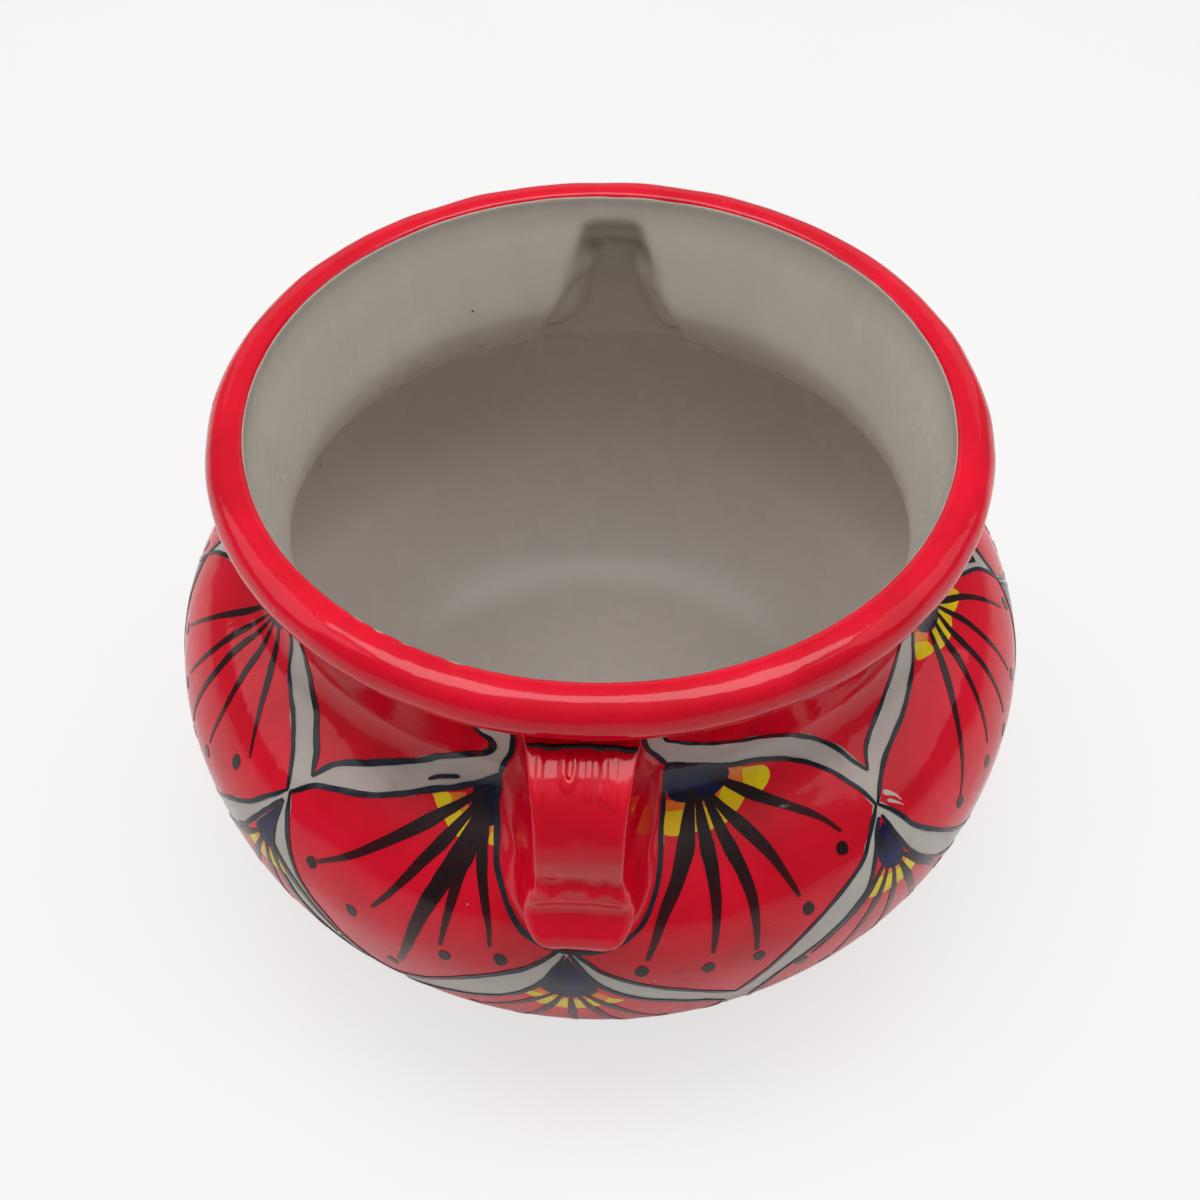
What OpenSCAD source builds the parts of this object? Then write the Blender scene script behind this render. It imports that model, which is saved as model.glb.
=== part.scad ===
// Round glazed planter: a wide belly, a flared collar, a rolled rim and two hollow lug handles.
// The pot stands on z = 0 with its axis on Z, and its front handle faces -Y.

/* [Belly] */
// Diameter at the widest circle
belly_d = 306; // [255:1:370]
// Height of the widest circle above the ground
belly_z = 91; // [76:1:110]
// Diameter of the flat foot
foot_d = 175; // [145:1:210]
// Radius of the curve above the widest circle
shoulder_curve = 45; // [36:1:55]
// Rise from the widest circle to the throat
shoulder_h = 60; // [50:1:75]
// Thickness of the clay walls and floor
wall = 7; // [5.5:0.5:8]

/* [Neck and rim] */
// Outside diameter of the rim
rim_d = 260; // [216:1:312]
// Thickness of the rolled rim
roll_d = 17.2; // [14:0.2:21]
// Rise from the throat to the middle of the rolled rim
neck_h = 38.6; // [32:0.2:47]
// How much narrower the throat is than the mouth, on the radius
neck_flare = 4.6; // [3:0.1:6]
// Drop from the middle of the rolled rim to the collar's top edge inside it
lip_drop = 2; // [1:0.5:4]

/* [Handles] */
// Width of the strap face of a handle
lug_face_w = 29; // [24:0.5:36]
// Width of a handle where it leaves the collar
lug_root_w = 50; // [42:0.5:60]
// Drop from the middle of the rim to the end of the handle's tongue
lug_drop = 84; // [70:1:96]
// Drop from the middle of the rim to where the strap stands furthest out
lug_bulge_drop = 70; // [58:1:80]
// How far the strap face stands out past the belly
lug_reach = 1.6; // [0.5:0.1:6]
// How far inside the rim's outer edge the strap comes out from under it
lug_tuck = 4; // [2:0.5:7]
// Drop from the middle of the rim to where the strap comes out from under it
lug_tuck_drop = 13; // [11:0.5:16]
// Radius of the tongue's round end
tongue_r = 17; // [14:0.5:20]
// Thickness of the clay round a handle's hollow
lug_wall = 5; // [4:0.5:7]
// Drop from the middle of the rim to the roof of a handle's hollow
lug_roof = 6.5; // [5:0.5:9]

/* [Drain and glaze] */
// Diameter of the drain hole
drain_d = 16; // [10:0.5:25]
// Width of floor left bare round the drain hole
drain_bare = 1.5; // [1:0.5:5]
// Thickness of the white glaze inside
glaze = 0.6; // [0.4:0.1:1]
// Where the white glaze ends on the rolled rim, in degrees up from its outer side
glaze_line = 119; // [95:1:150]

/* [Hidden] */
$fn = 96;

red = "#c8102a";
white = "#d9d6cd";
clay = "#b8653f";

// Heights and radii that follow from the driving sizes
belly_r = belly_d / 2;
roll_r = roll_d / 2;
roll_c = rim_d / 2 - roll_r;
throat_z = belly_z + shoulder_h;
roll_z = throat_z + neck_h;
throat_in = roll_c - roll_r - neck_flare;
throat_out = throat_in + wall;

// Lower curve, from the edge of the foot up to the widest circle
foot_in = belly_r - foot_d / 2;
lower_curve = (pow(foot_in, 2) + pow(belly_z, 2)) / (2 * foot_in);
lower_mid = [belly_r - lower_curve, belly_z];
foot_angle = atan2(-belly_z, lower_curve - foot_in);

// The shoulder curve turns into the hollow cove curve where their middles line up
throat_gap = belly_r - throat_out;
curve_sum = (pow(throat_gap, 2) + pow(shoulder_h, 2)) / (2 * throat_gap);
cove_curve = curve_sum - shoulder_curve;
shoulder_mid = [belly_r - shoulder_curve, belly_z];
cove_mid = [throat_out + cove_curve, throat_z];
seam_angle = atan2(shoulder_h, curve_sum - throat_gap);

// Slow flare of the collar from the throat to the mouth
flare_in = (pow(neck_h, 2) + pow(neck_flare, 2)) / (2 * neck_flare);
flare_curve = flare_in - wall;
flare_mid = [throat_in + flare_in, throat_z];
mouth_angle = asin(neck_h / flare_in);
lip_angle = asin((neck_h - lip_drop) / flare_in);
lip_end_angle = asin((neck_h + lip_drop / 2) / flare_in);

// Handle, measured outwards from the axis of the pot
lug_face = belly_r + lug_reach;
lug_mid_z = roll_z - lug_bulge_drop;
tongue_z = roll_z - lug_drop;
strap_in = lug_face - (rim_d / 2 - lug_tuck);
strap_rise = lug_bulge_drop - lug_tuck_drop;
lug_curve = (pow(strap_in, 2) + pow(strap_rise, 2)) / (2 * strap_in);
lug_slope = (lug_root_w - lug_face_w) / 2 / (lug_face - throat_out);
reach_in = throat_in / 2;

// Part of a flat ring about a point, between two angles
module arc_band(mid, outer, inner, from, to) {
  span = 2 * outer;
  translate(mid)
    intersection() {
      difference() {
        circle(outer);
        circle(inner);
      }
      polygon(concat([[0, 0]], [for (i = [0:4]) span * turn(from + (to - from) * i / 4)]));
    }
}

function turn(angle) = [cos(angle), sin(angle)];

// Slices of the pot's wall between two depths below its outer face
module lower_band(d0, d1) {
  arc_band(lower_mid, lower_curve - d0, lower_curve - d1, foot_angle, 0);
}

module shoulder_band(d0, d1) {
  arc_band(shoulder_mid, shoulder_curve - d0, shoulder_curve - d1, 0, seam_angle);
}

module neck_band(d0, d1) {
  arc_band(cove_mid, cove_curve + d1, cove_curve + d0, 180, 180 + seam_angle);
  arc_band(flare_mid, flare_curve + d1, flare_curve + d0, 180 - lip_angle, 180);
}

module lip_band(d0, d1, end) {
  arc_band(flare_mid, flare_curve + d1, flare_curve + d0, 180 - end, 180 - lip_angle);
}

// Points of the wall at one depth, from the foot to the mouth
function along(mid, r, from, to) = [for (i = [0:12]) mid + r * turn(from + (to - from) * i / 12)];
function wall_line(d) = concat(
  along(lower_mid, lower_curve - d, foot_angle, 0),
  along(shoulder_mid, shoulder_curve - d, 0, seam_angle),
  along(cove_mid, cove_curve + d, 180 + seam_angle, 180),
  along(flare_mid, flare_curve + d, 180, 180 - mouth_angle)
);

// Everything nearer the axis than one depth of the wall
module core(d) {
  line = wall_line(d);
  last = line[len(line) - 1];
  rotate_extrude()
    polygon(concat([[0, line[0][1]]], line, [[last[0], roll_z + roll_d], [0, roll_z + roll_d]]));
}

module walls() {
  rotate_extrude() {
    lower_band(0, wall);
    shoulder_band(0, wall);
    neck_band(0, wall);
  }
}

module roll_ring() {
  rotate_extrude()
    translate([roll_c, roll_z])
      circle(roll_r);
}

// Block of a handle, inset all round: strap curve, stem up to the rim, drafted sides and round tongue
module lug_form(inset, roof) {
  low = tongue_z - tongue_r;
  high = roll_z - roof;
  far = lug_face + lug_curve;
  half_root = lug_root_w / 2 - inset;
  half_face = lug_face_w / 2 - inset;
  intersection() {
    rotate([90, 0, 0])
      linear_extrude(2 * lug_root_w, center = true)
        intersection() {
          union() {
            translate([lug_face - lug_curve, lug_mid_z])
              circle(lug_curve - inset);
            translate([reach_in, lug_mid_z])
              square([roll_c - inset - reach_in, high - lug_mid_z]);
          }
          translate([reach_in, low])
            square([far, high - low]);
        }
    linear_extrude(2 * roll_z)
      polygon([
        [reach_in, half_root + lug_slope * (throat_out - reach_in)],
        [reach_in, -half_root - lug_slope * (throat_out - reach_in)],
        [lug_face, -half_face],
        [lug_face, half_face]
      ]);
    translate([0, 0, tongue_z + tongue_r])
      rotate([90, 0, 90])
        linear_extrude(far) {
          circle(tongue_r - inset);
          polygon([
            [inset - tongue_r, 0],
            [tongue_r - inset, 0],
            [lug_root_w, lug_drop],
            [-lug_root_w, lug_drop]
          ]);
        }
  }
}

module both_lugs(inset, roof) {
  for (side = [-90, 90])
    rotate([0, 0, side])
      lug_form(inset, roof);
}

module lug_hollows(inset) {
  both_lugs(lug_wall + inset, lug_roof + inset);
}

module handle() {
  color(red)
    difference() {
      lug_form(0, 0);
      lug_form(lug_wall, lug_roof);
      walls();
      core(wall / 2);
      roll_ring();
    }
}

module base_slab() {
  edge = lower_mid + lower_curve * turn(foot_angle);
  lip = lower_mid + (lower_curve - wall) * turn(foot_angle);
  color(clay)
    difference() {
      rotate_extrude()
        polygon([[0, 0], edge, lip, [0, lip[1]]]);
      translate([0, 0, -wall])
        cylinder(h = 3 * wall, d = drain_d);
    }
}

module lower_bowl() {
  color(red)
    difference() {
      rotate_extrude()
        lower_band(0, wall);
      lug_hollows(0);
    }
}

module shoulder_wall() {
  color(red)
    difference() {
      rotate_extrude()
        shoulder_band(0, wall);
      lug_hollows(0);
    }
}

module neck_collar() {
  color(red)
    difference() {
      rotate_extrude()
        neck_band(0, wall);
      lug_hollows(0);
    }
}

// The roll sits on the collar's top edge and hooks down over its outer side
module rim_roll() {
  color(red)
    rotate_extrude()
      difference() {
        union() {
          translate([roll_c, roll_z])
            circle(roll_r);
          lip_band(0, wall, lip_end_angle);
        }
        neck_band(0, wall);
      }
}

module front_handle() {
  rotate([0, 0, -90])
    handle();
}

module rear_handle() {
  rotate([0, 0, 90])
    handle();
}

// White skin over the floor, the walls, the hollows of the handles and the inner side of the rim
module glaze_lining() {
  depth = wall + glaze;
  inner_curve = lower_curve - wall;
  floor_in = lower_mid + inner_curve * turn(foot_angle);
  top_z = lower_mid[1] + (inner_curve - glaze) * sin(foot_angle);
  top_r = lower_mid[0] + sqrt(pow(inner_curve, 2) - pow(belly_z - top_z, 2));
  color(white)
    difference() {
      union() {
        difference() {
          rotate_extrude() {
            polygon([[0, floor_in[1]], floor_in, [top_r, top_z], [0, top_z]]);
            lower_band(wall, depth);
            shoulder_band(wall, depth);
            neck_band(wall, depth);
            lip_band(wall, depth, mouth_angle);
            arc_band([roll_c, roll_z], roll_r + glaze, roll_r, glaze_line, 180);
          }
          lug_hollows(glaze);
        }
        difference() {
          lug_hollows(0);
          lug_hollows(glaze);
          core(wall + glaze / 2);
        }
      }
      cylinder(h = belly_z, d = drain_d + 2 * drain_bare);
    }
}

base_slab();
lower_bowl();
shoulder_wall();
neck_collar();
rim_roll();
front_handle();
rear_handle();
glaze_lining();
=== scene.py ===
"""Painted planter: turned wall with a fan painting, rolled rim, two lug handles, white lining, clay base."""

import bisect
import math

import bpy
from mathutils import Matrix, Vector, noise
from mathutils.geometry import delaunay_2d_cdt


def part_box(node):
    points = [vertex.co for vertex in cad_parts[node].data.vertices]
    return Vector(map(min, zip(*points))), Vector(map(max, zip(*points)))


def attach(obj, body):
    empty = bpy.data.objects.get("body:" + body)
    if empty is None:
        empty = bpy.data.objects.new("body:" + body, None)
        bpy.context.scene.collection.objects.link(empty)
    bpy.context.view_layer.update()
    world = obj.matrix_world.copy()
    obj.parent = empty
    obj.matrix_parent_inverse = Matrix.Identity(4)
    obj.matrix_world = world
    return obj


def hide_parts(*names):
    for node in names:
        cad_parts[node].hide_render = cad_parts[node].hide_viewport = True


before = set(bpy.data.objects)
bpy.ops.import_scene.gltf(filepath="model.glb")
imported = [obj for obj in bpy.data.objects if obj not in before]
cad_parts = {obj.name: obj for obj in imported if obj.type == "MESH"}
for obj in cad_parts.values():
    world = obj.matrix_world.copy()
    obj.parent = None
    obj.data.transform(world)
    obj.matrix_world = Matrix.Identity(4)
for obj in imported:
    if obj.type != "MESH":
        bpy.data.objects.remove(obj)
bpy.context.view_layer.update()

MM = 0.001
# Millimetres round the wall in a degree of turn, for measuring on flat work
DEGREE_MM = 2.4
# Points nearer than this are one point
SAME_PLACE = 1e-6

# Sizes read from the CAD frame
belly_r, belly_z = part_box("lower_bowl")[1].x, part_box("lower_bowl")[1].z
foot_r, floor_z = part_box("base_slab")[1].x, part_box("base_slab")[1].z
seam_r, seam_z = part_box("neck_collar")[1].x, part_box("shoulder_wall")[1].z
roll_r = (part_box("rim_roll")[1].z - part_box("rim_roll")[0].z) / 2
roll_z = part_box("rim_roll")[1].z - roll_r
roll_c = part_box("rim_roll")[1].x - roll_r
wall = belly_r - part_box("glaze_lining")[1].x

# Sizes of the collar, drain and glaze that no box gives
NECK_RISE = 38.6 * MM
DRAIN_R = 8 * MM
DRAIN_BARE = 1.5 * MM
SKIN = 0.6 * MM
FLOOR_ROUND = 60 * MM
# Round part of the rim's outline, in degrees up from its outer side
ROLL_START, ROLL_END = -100, 95
# Inner edge of the rim from the middle of its roll: a low lip and the face that drops from it
RIM_LIP = [(-2, 8.42), (-2.9, 8.25), (-3.7, 7.9), (-4.3, 7.35), (-4.65, 6.6), (-4.8, 5.6)]
RIM_FACE_LOW = -6.5
# Inner face of the collar from the middle of the roll, down to just above the throat
COLLAR_FACE = [
    (-3.8, 7.6), (-4.25, 7.5), (-4.65, 7), (-4.95, 6), (-5.2, 3.8), (-5.7, 0), (-6.6, -4.5), (-7.9, -9.5),
    (-9.5, -16), (-11.2, -23.5), (-12.6, -30), (-13.5, -35),
]

# Curves of the wall that follow from them
foot_in = belly_r - foot_r
lower_curve = (foot_in**2 + belly_z**2) / (2 * foot_in)
lower_mid = (belly_r - lower_curve, belly_z)
foot_angle = math.degrees(math.atan2(-belly_z, lower_curve - foot_in))
seam_in, seam_rise = belly_r - seam_r, seam_z - belly_z
shoulder_curve = (seam_in**2 + seam_rise**2) / (2 * seam_in)
shoulder_mid = (belly_r - shoulder_curve, belly_z)
seam_angle = math.degrees(math.atan2(seam_rise, shoulder_curve - seam_in))
throat_z = roll_z - NECK_RISE
curve_sum = (throat_z - belly_z) / math.sin(math.radians(seam_angle))
cove_curve = curve_sum - shoulder_curve
cove_mid = (shoulder_mid[0] + curve_sum * math.cos(math.radians(seam_angle)), throat_z)
throat_in = cove_mid[0] - cove_curve - wall
neck_flare = roll_c - roll_r - throat_in
flare_in = (NECK_RISE**2 + neck_flare**2) / (2 * neck_flare)
flare_mid = (throat_in + flare_in, throat_z)
mouth_angle = math.degrees(math.asin(NECK_RISE / flare_in))


def flowing(points, step=1.4):
    """A smooth line through given points, cut to about one step of millimetres."""
    first = tuple(2 * a - b for a, b in zip(points[0], points[1]))
    last = tuple(2 * a - b for a, b in zip(points[-1], points[-2]))
    ends = [first, *points, last]
    line = []
    for before, here, there, after in zip(ends, ends[1:], ends[2:], ends[3:]):
        span = math.hypot((there[0] - here[0]) * DEGREE_MM, there[1] - here[1])
        count = max(1, math.ceil(span / step))
        for i in range(count):
            t = i / count
            line.append(tuple(
                b + 0.5 * t * (c - a + t * (2 * a - 5 * b + 4 * c - d + t * (3 * b - a - 3 * c + d)))
                for a, b, c, d in zip(before, here, there, after)
            ))
    return line + [tuple(points[-1])]


# Outlines of the turned pieces

def arc(mid, radius, start, end, step=0.8 * MM):
    """Points (radius, height) on an arc, with its angles in degrees."""
    count = max(2, math.ceil(abs(radius * math.radians(end - start)) / step))
    turns = [math.radians(start + (end - start) * i / count) for i in range(count + 1)]
    return [(mid[0] + radius * math.cos(a), mid[1] + radius * math.sin(a)) for a in turns]


def wall_arcs(depth):
    """The wall's curves at one depth below its outer face, from the foot to the mouth."""
    return [
        arc(lower_mid, lower_curve - depth, foot_angle, 0),
        arc(shoulder_mid, shoulder_curve - depth, 0, seam_angle),
        arc(cove_mid, cove_curve + depth, 180 + seam_angle, 180),
        arc(flare_mid, flare_in - wall + depth, 180, 180 - mouth_angle),
    ]


class Outline:
    """Side outline of a turned piece, read by the length along it."""

    def __init__(self, name, stretches):
        self.points = [stretches[0][0]]
        for stretch in stretches:
            for point in stretch:
                if math.dist(point, self.points[-1]) > SAME_PLACE:
                    self.points.append(point)
        self.lengths = [0.0]
        for a, b in zip(self.points, self.points[1:]):
            self.lengths.append(self.lengths[-1] + math.dist(a, b))
        self.total = self.lengths[-1]
        curve = bpy.data.curves.new(name, "CURVE")
        curve.dimensions = "3D"
        spline = curve.splines.new("POLY")
        spline.points.add(len(self.points) - 1)
        for spot, (r, z) in zip(spline.points, self.points):
            spot.co = (r, 0, z, 1)
        self.object = bpy.data.objects.new(name, curve)
        bpy.context.scene.collection.objects.link(self.object)

    def at(self, length):
        """(radius, height) at a length from the start."""
        i = min(max(bisect.bisect(self.lengths, length), 1), len(self.points) - 1)
        a, b = self.points[i - 1], self.points[i]
        part = (length - self.lengths[i - 1]) / (self.lengths[i] - self.lengths[i - 1])
        part = min(max(part, 0), 1)
        return a[0] + (b[0] - a[0]) * part, a[1] + (b[1] - a[1]) * part

    def radius_at(self, height):
        """Radius at a height, on an outline that rises all the way."""
        heights = [z for _, z in self.points]
        i = min(max(bisect.bisect(heights, height), 1), len(heights) - 1)
        a, b = self.points[i - 1], self.points[i]
        return a[0] + (b[0] - a[0]) * (height - a[1]) / (b[1] - a[1])


outer = Outline("wall outline", wall_arcs(0))
lining_depth = wall + SKIN
lining_curve = lower_curve - lining_depth
lining_floor = lower_mid[1] + lining_curve * math.sin(math.radians(foot_angle))
round_z = lining_floor + FLOOR_ROUND
round_angle = -math.degrees(math.asin((belly_z - round_z) / (lining_curve - FLOOR_ROUND)))
round_mid = (lower_mid[0] + (lining_curve - FLOOR_ROUND) * math.cos(math.radians(round_angle)), round_z)


def from_roll(points):
    """Points given in millimetres from the middle of the roll."""
    return [(roll_c + x * MM, roll_z + y * MM) for x, y in points]


inner = Outline("lining outline", [
    from_roll(flowing(COLLAR_FACE, 0.8)),
    arc(cove_mid, cove_curve + lining_depth, 180, 180 + seam_angle),
    arc(shoulder_mid, shoulder_curve - lining_depth, seam_angle, 0),
    arc(lower_mid, lining_curve, 0, round_angle),
    arc(round_mid, FLOOR_ROUND, round_angle, -90),
    [(DRAIN_R + DRAIN_BARE, lining_floor)],
])
roll_round = arc((roll_c, roll_z), roll_r, ROLL_START, ROLL_END)
roll = Outline("rim outline", [
    roll_round, from_roll(flowing(RIM_LIP, 0.8)), from_roll([(RIM_LIP[-1][0], RIM_FACE_LOW)]), roll_round[:1],
])


# Geometry Nodes tree that bends flat work round the pot

class Nodes:
    """Adds nodes to a tree: a value that is a socket is linked, any other is set."""

    def __init__(self, tree):
        self.tree = tree

    def add(self, kind, values=None, **settings):
        node = self.tree.nodes.new(kind)
        for key, value in settings.items():
            setattr(node, key, value)
        for key, value in (values or {}).items():
            if isinstance(value, bpy.types.NodeSocket):
                self.tree.links.new(value, node.inputs[key])
            else:
                node.inputs[key].default_value = value
        return node

    def math(self, operation, *values):
        return self.add("ShaderNodeMath", dict(enumerate(values)), operation=operation).outputs[0]

    def vector(self, operation, *values):
        return self.add("ShaderNodeVectorMath", dict(enumerate(values)), operation=operation).outputs[0]

    def scaled(self, vector, factor):
        return self.add("ShaderNodeVectorMath", {0: vector, "Scale": factor}, operation="SCALE").outputs[0]


# Gap that is closed where the first and last columns of a sheet meet, and angle of a crisp edge in radians
SEAM_GAP, SHARP_ANGLE = 1e-5, 0.8
LAY_INPUTS = [
    ("Geometry", "NodeSocketGeometry"), ("Outline", "NodeSocketObject"), ("Copies", "NodeSocketInt"),
    ("Lift", "NodeSocketFloat"), ("Depth", "NodeSocketFloat"), ("Dents", "NodeSocketFloat"),
    ("Dent Size", "NodeSocketFloat"), ("Finish", "NodeSocketMaterial"),
]


def lay_on_wall_tree():
    """Repeats flat work (x turn, y length up the outline, z lift) round the pot and lays it on an outline."""
    tree = bpy.data.node_groups.new("lay on wall", "GeometryNodeTree")
    for name, kind in LAY_INPUTS:
        tree.interface.new_socket(name, in_out="INPUT", socket_type=kind)
    tree.interface.new_socket("Geometry", in_out="OUTPUT", socket_type="NodeSocketGeometry")
    n = Nodes(tree)
    given = n.add("NodeGroupInput").outputs

    # Copies side by side, each a half turn further on
    half_turn = (math.pi, 0, 0)
    row = n.add("GeometryNodeMeshLine", {"Count": given["Copies"], "Offset": half_turn}, mode="OFFSET")
    copies = n.add("GeometryNodeInstanceOnPoints", {"Points": row.outputs[0], "Instance": given["Geometry"]})
    flat = n.add("GeometryNodeRealizeInstances", {0: copies.outputs[0]})

    # Place and outward direction of each point on the turned surface
    spot = n.add("ShaderNodeSeparateXYZ", {0: n.add("GeometryNodeInputPosition").outputs[0]}).outputs
    line = n.add("GeometryNodeObjectInfo", {"Object": given["Outline"]})
    read = n.add(
        "GeometryNodeSampleCurve", {"Curves": line.outputs["Geometry"], "Length": spot["Y"]},
        mode="LENGTH", use_all_curves=True,
    )
    side = n.add("ShaderNodeSeparateXYZ", {0: read.outputs["Position"]}).outputs
    run = n.add("ShaderNodeSeparateXYZ", {0: read.outputs["Tangent"]}).outputs
    sine, cosine = n.math("SINE", spot["X"]), n.math("COSINE", spot["X"])
    away = n.add("ShaderNodeCombineXYZ", {0: sine, 1: n.math("MULTIPLY", cosine, -1.0)}).outputs[0]
    rise = n.add("ShaderNodeCombineXYZ", {2: side["Z"]}).outputs[0]
    place = n.vector("ADD", n.scaled(away, side["X"]), rise)
    tilt = n.add("ShaderNodeCombineXYZ", {2: n.math("MULTIPLY", run["X"], -1.0)}).outputs[0]
    outward = n.vector("ADD", n.scaled(away, run["Z"]), tilt)

    # Soft dents of hand work, the same for every piece laid at one place
    cloud = n.add("ShaderNodeTexNoise", {"Vector": place, "Scale": given["Dent Size"], "Detail": 1.0})
    dent = n.math("MULTIPLY", n.math("SUBTRACT", cloud.outputs["Fac"], 0.5), given["Dents"])
    lift = n.math("ADD", n.math("ADD", given["Lift"], spot["Z"]), dent)
    push = n.add("GeometryNodeInputNamedAttribute", {"Name": "push"}, data_type="FLOAT")
    lifted = n.vector("ADD", place, n.scaled(outward, lift))
    shifted = n.vector("ADD", lifted, n.scaled(away, push.outputs[0]))
    kept = n.add(
        "GeometryNodeStoreNamedAttribute", {"Geometry": flat.outputs[0], "Name": "outward", "Value": outward},
        data_type="FLOAT_VECTOR", domain="POINT",
    )
    bent = n.add("GeometryNodeSetPosition", {"Geometry": kept.outputs[0], "Position": shifted})
    closed = n.add("GeometryNodeMergeByDistance", {"Geometry": bent.outputs[0], "Distance": SEAM_GAP})
    sheet = closed.outputs[0]

    # Thickness: the back of the sheet is drawn inwards and joined to its front
    back = n.add("GeometryNodeFlipFaces", {0: sheet}).outputs[0]
    direction = n.add("GeometryNodeInputNamedAttribute", {"Name": "outward"}, data_type="FLOAT_VECTOR")
    inwards = n.scaled(direction.outputs[0], -1.0)
    drawn = n.add(
        "GeometryNodeExtrudeMesh",
        {"Mesh": back, "Offset": inwards, "Offset Scale": given["Depth"], "Individual": False}, mode="FACES",
    )
    both = n.add("GeometryNodeJoinGeometry")
    tree.links.new(sheet, both.inputs[0])
    tree.links.new(drawn.outputs["Mesh"], both.inputs[0])
    joined = n.add("GeometryNodeMergeByDistance", {"Geometry": both.outputs[0], "Distance": SAME_PLACE})
    solid = joined.outputs[0]
    thick = n.math("GREATER_THAN", given["Depth"], 0.0)
    choice = {"Switch": thick, "False": sheet, "True": solid}
    chosen = n.add("GeometryNodeSwitch", choice, input_type="GEOMETRY")

    # Smooth faces with crisp edges
    smooth = n.add("GeometryNodeSetShadeSmooth", {0: chosen.outputs[0], "Shade Smooth": True}, domain="FACE")
    angle = n.add("GeometryNodeInputMeshEdgeAngle").outputs["Unsigned Angle"]
    sharp = n.math("GREATER_THAN", angle, SHARP_ANGLE)
    crisp = n.add(
        "GeometryNodeSetShadeSmooth", {0: smooth.outputs[0], "Selection": sharp, "Shade Smooth": False},
        domain="EDGE",
    )
    real = n.add("GeometryNodeRealizeInstances", {0: crisp.outputs[0]})
    painted = n.add("GeometryNodeSetMaterial", {"Geometry": real.outputs[0], "Material": given["Finish"]})
    n.add("NodeGroupOutput", {0: painted.outputs[0]})
    return tree


lay_tree = lay_on_wall_tree()
lay_sockets = {
    item.name: item.identifier for item in lay_tree.interface.items_tree if item.in_out == "INPUT"
}


def settle(piece):
    """Turns a piece with modifiers into a plain mesh."""
    depsgraph = bpy.context.evaluated_depsgraph_get()
    made = bpy.data.meshes.new_from_object(
        piece.evaluated_get(depsgraph), preserve_all_data_layers=True, depsgraph=depsgraph
    )
    piece.modifiers.clear()
    piece.data = made
    made.name = piece.name
    return piece


def lay(name, sheet, outline, finish, lift=0.0, depth=0.4 * MM, copies=2, dents=0.5 * MM, dent_size=22.0):
    """Lays a flat sheet of work on an outline of the pot as one solid piece."""
    mesh = bpy.data.meshes.new(name)
    mesh.from_pydata(sheet.points, [], sheet.faces)
    brush = mesh.attributes.new("brush", "FLOAT_VECTOR", "POINT")
    brush.data.foreach_set("vector", [value for spot in sheet.brush for value in spot])
    if sheet.push:
        mesh.attributes.new("push", "FLOAT", "POINT").data.foreach_set("value", sheet.push)
    piece = bpy.data.objects.new(name, mesh)
    bpy.context.scene.collection.objects.link(piece)
    modifier = piece.modifiers.new("lay on wall", "NODES")
    modifier.node_group = lay_tree
    values = {
        "Outline": outline.object, "Copies": copies, "Lift": lift, "Depth": depth,
        "Dents": dents, "Dent Size": dent_size, "Finish": finish,
    }
    for key, value in values.items():
        modifier[lay_sockets[key]] = value
    return settle(piece)


# Flat work: fields, strokes and dots in degrees of turn from the front and millimetres up the outline

def degree_mm(v):
    """Millimetres round the pot in one degree at a place up the outline."""
    return math.radians(outer.at(v * MM)[0] / MM)


NOISE_GAIN = 1.6
# Strokes lie at a few heights in turn, so that those that cross don't share a face
STROKE_LEVELS, STROKE_STEP = 5, 0.008 * MM
DOT_ROUGH, DOT_TALL = 0.16, 1.12


def waver(*place):
    """Smooth noise from about -1 to 1."""
    return noise.noise(Vector((*place, 0.5)[:3])) * NOISE_GAIN


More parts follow.
